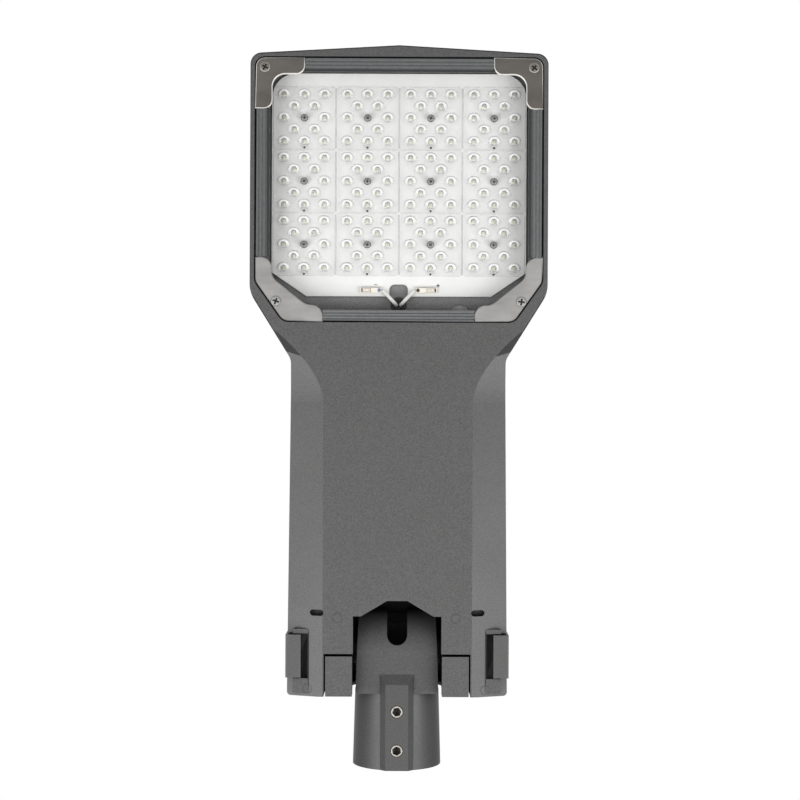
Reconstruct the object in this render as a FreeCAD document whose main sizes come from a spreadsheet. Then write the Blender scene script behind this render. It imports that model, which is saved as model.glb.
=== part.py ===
import FreeCAD, Part
import math
import os
import Sketcher
from FreeCAD import Placement, Rotation, Vector

# LED street light head, in millimetres.
# The head hangs as it does in use: +Z is up, the light shines along -Z, the nose
# points along +Y, and the pole enters the spigot from -Y.
# The origin is the centre of the spigot's mouth, on the axis of its bore.

os.makedirs("parts", exist_ok=True)
doc = FreeCAD.newDocument("street_light_head")
sheet = doc.addObject("Spreadsheet::Sheet", "Sizes")

# Driving dimensions

SIZES = {
    # Plan of the casting: distances along Y from the mouth of the spigot
    "rear_edge": 59.5,
    "neck_end": 324.9,
    "shoulder_end": 377.4,
    "nose_edge": 565.4,
    "nose_peak": 572.0,
    "neck_half_rear": 87.1,
    "neck_half_front": 84.6,
    "head_half": 117.2,
    "nose_round": 9.0,
    "shoulder_round": 24.0,
    "neck_round": 12.0,
    "rear_round": 3.0,
    "lower_edge_round": 1.6,
    # Heights of the casting
    "axis_drop": 45.0,
    "shell_rise": 28.0,
    "floor_wall": 4.0,
    "side_wall": 3.6,
    # Sloped flanks beside the flat underside
    "ridge_half": 58.7,
    "flank_slope": 0.38,
    "flank_turn": 291.2,
    "flank_end": 350.2,
    # Light window, its frame and the chamber behind it
    "window_half": 113.7,
    "window_rear": 353.9,
    "window_front": 562.7,
    "window_round": 8.0,
    "corner_slope": 1.415,
    "window_corner": 22.4,
    "window_corner_round": 10.0,
    "frame_depth": 4.5,
    "glass_inset": 1.2,
    "glass_corner": 32.8,
    "glass_front_cut": 21.0,
    "glass_thick": 4.0,
    "gasket_thick": 1.5,
    "ledge": 4.0,
    "chamber_corner": 30.9,
    "chamber_front_cut": 18.0,
    "chamber_rise": 21.0,
    "chamber_roof": 5.0,
    # Cooling fins on top of the lamp chamber
    "fin_rise": 27.0,
    "fin_mid_rise": 17.0,
    "fin_nose_rise": 5.0,
    "fin_front": 558.2,
    "fin_mid": 530.2,
    "fin_thick": 2.6,
    "fin_span": 198.0,
    "fin_count": 19,
    "bulkhead_rear": 396.2,
    "bulkhead_thick": 4.0,
    "bulkhead_half": 104.0,
    # Notch for the spigot and the two notches for the ears
    "notch_half": 34.8,
    "notch_shoulder": 123.0,
    "notch_throat": 28.5,
    "notch_apex": 135.2,
    "notch_apex_half": 8.0,
    "notch_lip_wall": 3.0,
    "notch_lip_rise": 10.5,
    "ear_gap": 1.3,
    "ear_front_gap": 2.0,
    # Tilt joint and its ears
    "pivot_forward": 93.2,
    "ear_inner": 35.4,
    "ear_outer": 56.4,
    "ear_rear": 59.9,
    "ear_front": 91.4,
    "ear_seat": 16.0,
    "ear_flange": 5.0,
    "ear_flange_half": 65.5,
    "ear_flange_rear": 64.2,
    "ear_flange_front": 109.2,
    "ear_plate": 9.0,
    "ear_boss": 16.0,
    "ear_bolt_side": 61.6,
    "ear_bolt_rear": 70.7,
    "ear_bolt_front": 101.2,
    "ear_bolt": 5.0,
    "ear_bolt_head": 8.5,
    "ear_bolt_depth": 9.0,
    # Spigot
    "bore_radius": 30.5,
    "tube_length": 60.2,
    "mouth_radius": 35.5,
    "root_radius": 33.8,
    "drum_radius": 32.0,
    "knuckle_half_rear": 32.9,
    "knuckle_half_front": 30.6,
    "knuckle_wall": 5.5,
    "cheek_boss": 15.0,
    "cheek_boss_half": 33.2,
    "slot_width": 16.1,
    "slot_end": 98.5,
    "slot_top": 20.0,
    "rail_face_half": 9.0,
    "rail_drop": 37.0,
    "rail_foot_half": 13.2,
    "rail_end": 68.0,
    "rail_slope_end": 75.6,
    "grub_first": 15.9,
    "grub_second": 46.7,
    "grub_thread": 10.0,
    "grub_socket": 5.0,
    "grub_proud": 0.6,
    # Pivot bolts
    "pivot_thread": 10.0,
    "pivot_head_width": 16.0,
    "pivot_head_thick": 6.4,
    "pivot_inner_end": 21.0,
    "washer_radius": 13.0,
    # Top cover
    "cover_rise": 91.0,
    "cover_wall": 2.6,
    "cover_front": 388.2,
    "cover_slope_start": 264.2,
    "cover_front_rise": 53.0,
    "cover_edge_round": 9.0,
    "cover_gap": 0.4,
    "arch_half": 39.0,
    "arch_rise": 2.0,
    "cover_lip_half": 57.0,
    # Cover hinge
    "hinge_forward": 390.2,
    "hinge_rise": 48.5,
    "hinge_barrel": 4.5,
    "hinge_pin": 4.0,
    "hinge_inner": 52.0,
    "hinge_outer": 80.0,
    "lug_width": 12.0,
    # Latches on the sides of the cover
    "latch_rear": 74.4,
    "latch_length": 33.8,
    "latch_gap": 0.8,
    "latch_inner": 75.6,
    "latch_outer": 87.9,
    "latch_plate": 4.0,
    "latch_drop": 43.0,
    "latch_hook_rise": 9.0,
    "latch_recess": 70.3,
    "latch_ledge_rise": 11.5,
    "latch_pivot_side": 84.4,
    "latch_pivot_drop": 6.0,
    "latch_barrel": 3.0,
    "latch_pin": 3.0,
    "latch_boss_inner": 77.5,
    "latch_boss_end": 6.0,
    # Drain slots
    "drain_side": 63.4,
    "drain_forward": 125.6,
    "drain_length": 10.7,
    "drain_width": 4.9,
    # Clamping frame of the glass
    "rail_width": 11.0,
    "rear_rail_width": 9.0,
    "frame_gap": 0.8,
    "tongue_thick": 1.7,
    "groove_width": 1.5,
    "groove_depth": 0.9,
    "plate_thick": 2.8,
    "plate_proud": 0.3,
    "plate_gap": 0.4,
    "plate_arm": 13.5,
    "front_arm_side": 39.0,
    "front_arm_long": 40.6,
    "rear_arm_side": 53.6,
    "rear_arm_long": 51.0,
    "rail_tongue": 7.0,
    "plate_inner_side": 27.0,
    "plate_inner_long": 21.5,
    "plate_end_round": 9.0,
    "plate_edge": 0.6,
    "front_screw_side": 105.7,
    "front_screw_forward": 554.2,
    "rear_screw_side": 96.4,
    "rear_screw_forward": 370.4,
    "frame_screw": 3.4,
    "frame_screw_head": 7.7,
    "frame_screw_dome": 1.2,
    "frame_screw_length": 12.0,
    # LED board and lenses
    "board_half": 101.5,
    "board_rear": 375.9,
    "board_front": 553.4,
    "board_round": 12.8,
    "board_cut_side": 27.9,
    "board_cut_long": 19.0,
    "board_thick": 1.6,
    "board_notch_half": 7.4,
    "board_notch_depth": 9.6,
    "board_notch_round": 4.2,
    "module_pitch": 50.3,
    "module_width": 49.8,
    "module_centre": 467.1,
    "module_columns": 4,
    "module_rows": 3,
    "lens_rise": 9.3,
    "lens_step": 8.05,
    "lens_wide": 10.9,
    "lens_long": 9.2,
    "lens_height": 4.9,
    "lens_shoulder": 2.7,
    "lens_shoulder_share": 0.86,
    "lens_crown_share": 0.42,
    "lens_base": 1.6,
    "lens_skirt": 1.0,
    "chip_width": 3.5,
    "chip_thick": 0.7,
    "lens_screw": 3.0,
    "lens_screw_head": 5.9,
    "lens_hole": 3.6,
    "lens_screw_rise": 2.2,
    "connector_side": 22.1,
    "connector_long": 17.0,
    "connector_deep": 4.2,
    "connector_thick": 3.0,
    "connector_forward": 380.6,
    # Lead-through from the driver bay
    "grommet_forward": 369.0,
    "grommet_radius": 6.8,
    "grommet_neck": 5.2,
    "grommet_lip": 1.6,
    "lead_diameter": 2.8,
    "lead_half_gap": 1.9,
    "lead_end_gap": 1.3,
    # Gear tray and what it carries
    "tray_half": 69.0,
    "tray_rear": 115.2,
    "tray_front": 336.2,
    "tray_cut_half": 40.0,
    "tray_cut_front": 138.2,
    "tray_thick": 1.5,
    "tray_standoff": 6.0,
    "tray_boss": 5.0,
    "tray_screw_side": 50.0,
    "tray_screw_rear": 148.2,
    "tray_screw_front": 324.2,
    "small_screw": 4.0,
    "small_screw_head": 7.6,
    "small_screw_rise": 2.6,
    "driver_half": 34.0,
    "driver_rear": 174.2,
    "driver_length": 140.0,
    "driver_height": 36.0,
    "driver_foot": 9.0,
    "driver_foot_thick": 3.0,
    "terminal_side": 19.0,
    "terminal_width": 28.0,
    "terminal_rear": 140.2,
    "terminal_length": 20.0,
    "terminal_height": 18.0,
    "terminal_shoulder": 10.8,
    "terminal_way_rise": 8.1,
    "wire_diameter": 2.4,
    "fit": 0.05,
    "face_gap": 0.1,
}

for line, (word, number) in enumerate(SIZES.items(), start=1):
    sheet.set("A%d" % line, word)
    sheet.set("B%d" % line, str(number))
    sheet.setAlias("B%d" % line, word)
doc.recompute()


class Size:
    """A length with its present value and the sheet expression that it follows."""

    def __init__(self, value, text):
        self.value = value
        self.text = text

    def __add__(self, other):
        other = as_size(other)
        return Size(self.value + other.value, "(%s + %s)" % (self.text, other.text))

    def __sub__(self, other):
        other = as_size(other)
        return Size(self.value - other.value, "(%s - %s)" % (self.text, other.text))

    def __mul__(self, other):
        other = as_size(other)
        return Size(self.value * other.value, "(%s * %s)" % (self.text, other.text))

    def __truediv__(self, other):
        other = as_size(other)
        return Size(self.value / other.value, "(%s / %s)" % (self.text, other.text))

    def __neg__(self):
        return Size(-self.value, "(0 - %s)" % self.text)

    def __radd__(self, other):
        return as_size(other) + self

    def __rsub__(self, other):
        return as_size(other) - self

    def __rmul__(self, other):
        return as_size(other) * self

    def __rtruediv__(self, other):
        return as_size(other) / self


def as_size(thing):
    """Return a plain number as a Size, and a Size as it is."""
    if isinstance(thing, Size):
        return thing
    if thing < 0:
        return Size(float(thing), "(0 - %r)" % float(-thing))
    return Size(float(thing), "%r" % float(thing))


def named(word):
    """Return the sheet's size of that name."""
    return Size(float(sheet.get(word)), "Sizes.%s" % word)


class Sheet:
    """The sheet's sizes, each read by its name."""

    def __getattr__(self, word):
        return named(word)


S = Sheet()


# Helpers that make document objects whose sizes follow the sheet

def bind(thing, path, length):
    """Tie one property of a document object to a size."""
    thing.setExpression(path, as_size(length).text)


def place(thing, x, y, z, rotation=None):
    """Put a document object at a point that follows the sheet."""
    point = [as_size(part) for part in (x, y, z)]
    base = Vector(*[part.value for part in point])
    thing.Placement = Placement(base, rotation or Rotation())
    for letter, part in zip("xyz", point):
        bind(thing, "Placement.Base.%s" % letter, part)


def box(name, x, y, z):
    """Make a box between two limits on each axis."""
    block = doc.addObject("Part::Box", name)
    bind(block, "Length", as_size(x[1]) - x[0])
    bind(block, "Width", as_size(y[1]) - y[0])
    bind(block, "Height", as_size(z[1]) - z[0])
    place(block, x[0], y[0], z[0])
    return block


TURNS = {
    "X": Rotation(Vector(0, 1, 0), 90),
    "Y": Rotation(Vector(1, 0, 0), -90),
    "Z": Rotation(),
}


def rod(name, start, radius, length, axis="Z"):
    """Make a cylinder that runs from its start along one axis."""
    bar = doc.addObject("Part::Cylinder", name)
    bind(bar, "Radius", radius)
    bind(bar, "Height", length)
    place(bar, *start, rotation=TURNS[axis])
    return bar


def cone(name, start, first, last, length, axis="Z"):
    """Make a cone that runs from its first radius to its last along one axis."""
    form = doc.addObject("Part::Cone", name)
    bind(form, "Radius1", first)
    bind(form, "Radius2", last)
    bind(form, "Height", length)
    place(form, *start, rotation=TURNS[axis])
    return form


def fuse(name, forms):
    """Join several forms into one."""
    joined = doc.addObject("Part::MultiFuse", name)
    joined.Shapes = forms
    joined.Refine = True
    return joined


def cut(name, form, tools):
    """Take tools away from a form."""
    tool = tools[0] if len(tools) == 1 else fuse(name + "_tools", tools)
    result = doc.addObject("Part::Cut", name)
    result.Base = form
    result.Tool = tool
    result.Refine = True
    return result


def common(name, first, second):
    """Keep what two forms share."""
    result = doc.addObject("Part::Common", name)
    result.Base = first
    result.Tool = second
    result.Refine = True
    return result


def mirrored(name, form):
    """Make the left-hand twin of a right-hand form."""
    twin = doc.addObject("Part::Mirroring", name)
    twin.Source = form
    twin.Normal = Vector(1, 0, 0)
    twin.Base = Vector(0, 0, 0)
    return twin


def group(name, forms):
    """Keep several like solids together as one sub-part."""
    bundle = doc.addObject("Part::Compound", name)
    bundle.Links = forms
    return bundle


def draw(sketch, corners):
    """Draw a closed outline whose corners follow the sheet."""
    corners = [(as_size(across), as_size(up)) for across, up in corners]
    points = [Vector(across.value, up.value, 0) for across, up in corners]
    first = sketch.GeometryCount
    total = len(points)
    for index in range(total):
        ends = Part.LineSegment(points[index], points[(index + 1) % total])
        sketch.addGeometry(ends, False)
    for index in range(total):
        after = first + (index + 1) % total
        joint = Sketcher.Constraint("Coincident", first + index, 2, after, 1)
        sketch.addConstraint(joint)
    for index, corner in enumerate(corners):
        for kind, length in zip(("DistanceX", "DistanceY"), corner):
            rule = Sketcher.Constraint(kind, -1, 1, first + index, 1, length.value)
            number = sketch.addConstraint(rule)
            bind(sketch, "Constraints[%d]" % number, length)


def draw_circle(sketch, across, up, radius):
    """Draw a circle whose centre and radius follow the sheet."""
    across, up, radius = as_size(across), as_size(up), as_size(radius)
    centre = Vector(across.value, up.value, 0)
    ring = sketch.addGeometry(Part.Circle(centre, Vector(0, 0, 1), radius.value), False)
    rules = (
        (Sketcher.Constraint("DistanceX", -1, 1, ring, 3, across.value), across),
        (Sketcher.Constraint("DistanceY", -1, 1, ring, 3, up.value), up),
        (Sketcher.Constraint("Radius", ring, radius.value), radius),
    )
    for rule, length in rules:
        number = sketch.addConstraint(rule)
        bind(sketch, "Constraints[%d]" % number, length)


def other_side(corners):
    """Mirror an outline's corners to the other side of the centre plane."""
    return [(-as_size(across), up) for across, up in reversed(corners)]


def both_sides(half):
    """Close half an outline, given from rear to front, with its mirror image."""
    return list(half) + other_side(half)


def start_body(name):
    """Start a sub-part that is built from sketches."""
    body = doc.addObject("PartDesign::Body", name)
    body.Label = name
    return body


def origin_feature(body, role):
    """Find one of a body's own origin planes or axes."""
    return next(item for item in body.Origin.OriginFeatures if item.Role == role)


def sketch_on(body, name, plane, start):
    """Attach a sketch to an origin plane, at a distance along that plane's axis."""
    sketch = body.newObject("Sketcher::SketchObject", name)
    sketch.AttachmentSupport = [(origin_feature(body, plane + "_Plane"), "")]
    sketch.MapMode = "FlatFace"
    offset = -as_size(start) if plane == "XZ" else as_size(start)
    sketch.AttachmentOffset = Placement(Vector(0, 0, offset.value), Rotation())
    bind(sketch, "AttachmentOffset.Base.z", offset)
    return sketch


def check_form(feature):
    """Stop with the feature's name if its form isn't sound."""
    if feature.Shape.isNull() or not feature.Shape.isValid():
        raise RuntimeError("%s has no sound form" % feature.Name)


def extrude(body, kind, name, plane, outlines, span, circles=()):
    """Pad or pocket outlines between two limits along the plane's axis."""
    sketch = sketch_on(body, name + "_sketch", plane, span[0])
    for corners in outlines:
        draw(sketch, corners)
    for across, up, radius in circles:
        draw_circle(sketch, across, up, radius)
    before = body.Tip.Shape.Volume if body.Tip else 0.0
    feature = body.newObject("PartDesign::" + kind, name)
    feature.Profile = sketch
    feature.Type = "Length"
    feature.Reversed = (plane == "XZ") == (kind == "Pad")
    bind(feature, "Length", as_size(span[1]) - span[0])
    body.Tip = feature
    doc.recompute()
    check_form(feature)
    change = feature.Shape.Volume - before
    if (change > 0) != (kind == "Pad"):
        raise RuntimeError("%s changed the volume by %.1f" % (name, change))
    return feature


def pad(body, name, plane, outlines, span, circles=()):
    """Add material between two limits along the plane's axis."""
    return extrude(body, "Pad", name, plane, outlines, span, circles)


def pocket(body, name, plane, outlines, span, circles=()):
    """Take material away between two limits along the plane's axis."""
    return extrude(body, "Pocket", name, plane, outlines, span, circles)


def round_edges(body, name, radius, wanted):
    """Round every edge of the body's present form that the test picks."""
    form = body.Tip
    picked = []
    for number, edge in enumerate(form.Shape.Edges, start=1):
        if wanted(edge):
            picked.append("Edge%d" % number)
    if not picked:
        raise RuntimeError("%s found no edge" % name)
    feature = body.newObject("PartDesign::Fillet", name)
    feature.Base = (form, picked)
    bind(feature, "Radius", radius)
    body.Tip = feature
    doc.recompute()
    check_form(feature)
    return feature


def bevel_edges(body, name, width, wanted):
    """Bevel every edge of the body's present form that the test picks."""
    form = body.Tip
    picked = []
    for number, edge in enumerate(form.Shape.Edges, start=1):
        if wanted(edge):
            picked.append("Edge%d" % number)
    if not picked:
        raise RuntimeError("%s found no edge" % name)
    feature = body.newObject("PartDesign::Chamfer", name)
    feature.Base = (form, picked)
    bind(feature, "Size", width)
    body.Tip = feature
    doc.recompute()
    check_form(feature)
    return feature


NEAR = 0.01


def upright_at(points):
    """Make a test for upright edges that stand over given plan points, on both sides."""
    spots = [(as_size(across).value, as_size(along).value) for across, along in points]

    def wanted(edge):
        limits = edge.BoundBox
        if limits.XLength > NEAR or limits.YLength > NEAR:
            return False
        middle = limits.Center
        return any(
            abs(abs(middle.x) - across) < NEAR and abs(middle.y - along) < NEAR
            for across, along in spots
        )

    return wanted


def level_at(height, outside=None):
    """Make a test for edges that lie in one level plane, and pass a further test."""
    level = as_size(height).value

    def wanted(edge):
        limits = edge.BoundBox
        if limits.ZLength > NEAR or abs(limits.Center.z - level) > NEAR:
            return False
        return outside is None or outside(edge)

    return wanted


# Heights that several pieces share

underside = -S.axis_drop
parting = underside + S.shell_rise
floor_top = underside + S.floor_wall
frame_floor = underside + S.frame_depth
glass_low = frame_floor
glass_high = glass_low + S.glass_thick
ledge_level = glass_high + S.gasket_thick
chamber_top = underside + S.chamber_rise
head_top = chamber_top + S.chamber_roof
ear_seat_level = underside + S.ear_seat
flange_top = ear_seat_level + S.ear_flange


# Outlines in plan, from rear to front on the right-hand side

def nosed_outline():
    """Outline of the casting: neck, shoulder, lamp head and the shallow nose."""
    half = [
        (S.neck_half_rear, S.rear_edge),
        (S.neck_half_front, S.neck_end),
        (S.head_half, S.shoulder_end),
        (S.head_half, S.nose_edge),
    ]
    return half + [(0, S.nose_peak)] + other_side(half)


def bay_outline(inset, rear_run, front_cut=None):
    """Outline of the light window or of something that fits inside it."""
    half = S.window_half - inset
    rear = S.window_rear + inset
    front = S.window_front - inset
    right = [
        (half - rear_run, rear),
        (half, rear + S.corner_slope * rear_run),
    ]
    if front_cut is None:
        right.append((half, front))
    else:
        right.append((half, front - front_cut))
        right.append((half - front_cut, front))
    return both_sides(right)


# The casting that carries everything

hinge_level = underside + S.hinge_rise
hinge_middle = (S.hinge_inner + S.hinge_outer) / 2
latch_level = -S.latch_pivot_drop
tray_half_inside = S.neck_half_front - S.side_wall
tray_rear_inside = S.rear_edge + S.side_wall
tray_front_inside = S.window_rear - S.side_wall * 2
ear_notch_outer = S.ear_outer + S.ear_gap
ear_notch_front = S.ear_front + S.ear_front_gap
latch_front = S.latch_rear + S.latch_length
recess_rear = S.latch_rear - S.latch_gap
recess_front = latch_front + S.latch_gap
latch_slot = S.latch_outer - S.latch_plate - S.latch_gap / 2
ledge_low = underside + S.latch_ledge_rise
tray_level = floor_top + S.tray_standoff
# A square corner that is cut by this share of its radius first leaves room for two rounds
round_share = 0.6
beyond = 20.0
lens_screw_hole = S.lens_screw / 2 + S.fit


def rectangle(x, y):
    """Corners of a rectangle between two limits on each axis."""
    return [(x[0], y[0]), (x[1], y[0]), (x[1], y[1]), (x[0], y[1])]


def module_centres():
    """Plan centres of the lens modules, row by row from the nose."""
    centres = []
    for row in range(int(S.module_rows.value)):
        for column in range(int(S.module_columns.value)):
            across = S.module_pitch * (column - (S.module_columns - 1) / 2)
            along = S.module_centre + S.module_pitch * ((S.module_rows - 1) / 2 - row)
            centres.append((across, along))
    return centres


def ridge_sections(body, name, side):
    """Sketch the triangles that bevel one flank, from the straight neck to the shoulder."""
    far = S.head_half + beyond
    outline_run = (S.head_half - S.neck_half_front) / (S.shoulder_end - S.neck_end)
    ridge_end = S.neck_half_front + (S.flank_end - S.neck_end) * outline_run
    sections = []
    for step, share in enumerate((0.0, 0.25, 0.5, 0.75, 1.0)):
        along = S.flank_turn + (S.flank_end - S.flank_turn) * share
        ridge = S.ridge_half + (ridge_end - S.ridge_half) * share ** 1.75
        sketch = sketch_on(body, "%s_%d" % (name, step), "XZ", along)
        low = underside - 1
        corners = [
            (side * (ridge - 1 / S.flank_slope), low),
            (side * far, low),
            (side * far, underside + (far - ridge) * S.flank_slope),
        ]
        draw(sketch, corners)
        sections.append(sketch)
    return sections


def bevel_flanks(body):
    """Slope the underside beside its flat middle, fading out at the shoulders."""
    far = S.head_half + beyond
    for side, word in ((1, "right"), (-1, "left")):
        corners = [
            (side * S.ridge_half, underside),
            (side * far, underside),
            (side * far, underside + (far - S.ridge_half) * S.flank_slope),
        ]
        span = (S.rear_edge - beyond, S.flank_turn)
        pocket(body, "flank_" + word, "XZ", [corners], span)
        sections = ridge_sections(body, "flank_fade_" + word, side)
        fade = body.newObject("PartDesign::SubtractiveLoft", "flank_fade_" + word)
        fade.Profile = sections[0]
        fade.Sections = sections[1:]
        fade.Ruled = False
        body.Tip = fade
        doc.recompute()
        check_form(fade)


def housing_shell(body):
    """Pad the outline, round its corners and its lower edge, and bevel the flanks."""
    pad(body, "shell", "XY", [nosed_outline()], (underside, parting))
    corners = (
        ("nose_corners", S.nose_round, (S.head_half, S.nose_edge)),
        ("shoulders", S.shoulder_round, (S.head_half, S.shoulder_end)),
        ("neck_corners", S.neck_round, (S.neck_half_front, S.neck_end)),
        ("rear_corners", S.rear_round, (S.neck_half_rear, S.rear_edge)),
    )
    for name, radius, point in corners:
        round_edges(body, name, radius, upright_at([point]))
    fade_end = S.flank_end.value

    def around_head(edge):
        return edge.BoundBox.YMax > fade_end

    round_edges(body, "lower_edge", S.lower_edge_round, level_at(underside, around_head))
    bevel_flanks(body)


def housing_window(body):
    """Sink the frame seat, the glass seat and the lamp chamber into the underside."""
    front_cut = S.window_round * round_share
    pocket(body, "frame_seat", "XY", [bay_outline(0, S.window_corner, front_cut)],
           (underside, frame_floor))
    front = [
        (S.window_half, S.window_front - front_cut),
        (S.window_half - front_cut, S.window_front),
    ]
    rear = [
        (S.window_half - S.window_corner, S.window_rear),
        (S.window_half, S.window_rear + S.corner_slope * S.window_corner),
    ]
    round_edges(body, "window_front_corners", S.window_round, upright_at(front))
    round_edges(body, "window_rear_corners", S.window_corner_round, upright_at(rear))
    seat = S.glass_inset / 2
    pocket(body, "glass_seat", "XY",
           [bay_outline(seat, S.glass_corner, S.glass_front_cut)],
           (frame_floor, ledge_level))
    chamber = S.glass_inset + S.ledge
    pocket(body, "chamber", "XY",
           [bay_outline(chamber, S.chamber_corner, S.chamber_front_cut)],
           (ledge_level, chamber_top))
    holes = [(across, along, lens_screw_hole) for across, along in module_centres()]
    pocket(body, "lens_screw_holes", "XY", [],
           (chamber_top, head_top - S.chamber_roof / 3), circles=holes)
    pocket(body, "lead_hole", "XY", [], (chamber_top, head_top),
           circles=[(0, S.grommet_forward, S.grommet_neck + S.fit)])


def housing_tray(body):
    """Hollow the casting from above: shallow over the lamp chamber, deep in the neck."""
    wall = S.side_wall
    roof = both_sides([
        (S.neck_half_rear - wall, tray_rear_inside),
        (S.neck_half_front - wall, S.neck_end + wall / 2),
        (S.head_half - wall, S.shoulder_end + wall / 2),
        (S.head_half - wall, S.nose_edge - wall * 2),
    ])
    pocket(body, "roof_recess", "XY", [roof], (head_top, parting))
    inner = tray_half_inside
    flank_inside = underside + (inner - S.ridge_half) * S.flank_slope + S.floor_wall
    section = both_sides([
        (S.ridge_half, floor_top),
        (inner, flank_inside),
        (inner, parting),
    ])
    pocket(body, "tray", "XZ", [section], (tray_rear_inside, tray_front_inside))
    lip = S.notch_lip_wall
    lip_outline = both_sides([
        (S.notch_half + lip, ear_notch_front),
        (S.notch_half + lip, S.notch_shoulder + lip),
        (S.notch_throat + lip / 2, S.notch_shoulder + lip),
        (S.notch_apex_half + lip / 2, S.notch_apex + lip),
    ])
    pad(body, "notch_lip", "XY", [lip_outline],
        (floor_top, underside + S.notch_lip_rise))
    seats = [
        rectangle((ear_notch_outer - wall, tray_half_inside + 1),
                  (tray_rear_inside - 1, recess_front + wall)),
        rectangle((S.ear_inner, ear_notch_outer), (ear_notch_front - 1, S.ear_flange_front)),
    ]
    for number, seat in enumerate(seats):
        pad(body, "ear_seat_%d" % number, "XY", [seat, other_side(seat)],
            (floor_top, ear_seat_level))


def housing_openings(body):
    """Cut the spigot notch, the ear notches, the latch recesses and the drain slots."""
    behind = S.rear_edge - beyond
    notch = both_sides([
        (S.notch_half, behind),
        (S.notch_half, S.notch_shoulder),
        (S.notch_throat, S.notch_shoulder),
        (S.notch_apex_half, S.notch_apex),
    ])
    pocket(body, "spigot_notch", "XY", [notch], (underside, parting))
    ear = rectangle((S.notch_half - 1, ear_notch_outer), (behind, ear_notch_front))
    pocket(body, "ear_notches", "XY", [ear, other_side(ear)], (underside, parting))
    far = S.neck_half_rear + beyond
    finger = rectangle((S.latch_recess, far), (recess_rear, recess_front))
    pocket(body, "latch_recesses", "XY", [finger, other_side(finger)],
           (underside, ledge_low))
    plate = rectangle((latch_slot, far), (recess_rear, recess_front))
    pocket(body, "latch_slots", "XY", [plate, other_side(plate)], (ledge_low, parting))
    reach = (S.drain_length - S.drain_width) / 2
    along = (S.drain_forward - S.drain_width / 2, S.drain_forward + S.drain_width / 2)
    slot = rectangle((S.drain_side - reach, S.drain_side + reach), along)
    span = (underside, floor_top + S.floor_wall)
    pocket(body, "drain_slots", "XY", [slot, other_side(slot)], span)
    ends = [
        (side * (S.drain_side + end * reach), S.drain_forward, S.drain_width / 2)
        for side in (1, -1) for end in (1, -1)
    ]
    pocket(body, "drain_ends", "XY", [], span, circles=ends)


def housing_bosses(body):
    """Raise the tray bosses, the sill under the cover and the screw holes."""
    places = [
        (side * S.tray_screw_side, along)
        for side in (1, -1) for along in (S.tray_screw_rear, S.tray_screw_front)
    ]
    pad(body, "tray_bosses", "XY", [], (floor_top, tray_level),
        circles=[(x, y, S.tray_boss) for x, y in places])
    hole = S.small_screw / 2 + S.fit
    pocket(body, "tray_screw_holes", "XY", [],
           (floor_top + S.floor_wall / 4, tray_level),
           circles=[(x, y, hole) for x, y in places])
    bolts = [
        (side * S.ear_bolt_side, along, S.ear_bolt / 2 + S.fit)
        for side in (1, -1) for along in (S.ear_bolt_rear, S.ear_bolt_front)
    ]
    pocket(body, "ear_bolt_holes", "XY", [],
           (ear_seat_level - S.ear_bolt_depth - 1, ear_seat_level), circles=bolts)
    screws = [
        (side * across, along, S.frame_screw / 2 + S.fit)
        for side in (1, -1)
        for across, along in (
            (S.front_screw_side, S.front_screw_forward),
            (S.rear_screw_side, S.rear_screw_forward),
        )
    ]
    pocket(body, "frame_screw_holes", "XY", [],
           (frame_floor, underside + S.frame_screw_length), circles=screws)


def housing_back(body):
    """Stand the bulkhead, the cooling fins and the hinge lugs on the lamp chamber."""
    half = S.bulkhead_half
    sill = rectangle((-(S.head_half - 1), S.head_half - 1),
                     (S.cover_front - S.cover_wall, S.cover_front))
    pad(body, "cover_sill", "XY", [sill], (head_top, parting))
    wall_front = S.bulkhead_rear + S.bulkhead_thick
    wall = rectangle((-half, half), (S.bulkhead_rear, wall_front))
    pad(body, "bulkhead", "XY", [wall], (head_top, head_top + S.fin_rise))
    block = rectangle((S.hinge_forward, S.bulkhead_rear + 1),
                      (hinge_level - S.hinge_barrel, hinge_level))
    for side, word in ((1, "right"), (-1, "left")):
        start = side * hinge_middle - S.lug_width / 2
        span = (start, start + S.lug_width)
        pad(body, "lug_" + word, "YZ", [block], span)
        pad(body, "lug_eye_" + word, "YZ", [], span,
            circles=[(S.hinge_forward, hinge_level, S.hinge_barrel)])
        pocket(body, "lug_bore_" + word, "YZ", [], span,
               circles=[(S.hinge_forward, hinge_level, S.hinge_pin / 2 + S.fit)])
    fin = [
        (wall_front - 1, head_top),
        (S.fin_front, head_top),
        (S.fin_front, head_top + S.fin_nose_rise),
        (S.fin_mid, head_top + S.fin_mid_rise),
        (wall_front - 1, head_top + S.fin_rise),
    ]
    start = -S.fin_span / 2 - S.fin_thick / 2
    first = pad(body, "fin", "YZ", [fin], (start, start + S.fin_thick))
    row = body.newObject("PartDesign::LinearPattern", "fins")
    row.Originals = [first]
    row.Direction = (origin_feature(body, "X_Axis"), [""])
    bind(row, "Length", S.fin_span)
    row.Occurrences = int(S.fin_count.value)
    body.Tip = row
    doc.recompute()


def main_housing():
    """One casting: lamp chamber, fins, driver tray and the seats of the tilt joint."""
    body = start_body("main_housing")
    housing_shell(body)
    housing_window(body)
    housing_tray(body)
    housing_openings(body)
    housing_bosses(body)
    housing_back(body)
    return body


nodes = [main_housing()]


# Spigot: the fixed piece that the pole enters

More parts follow.
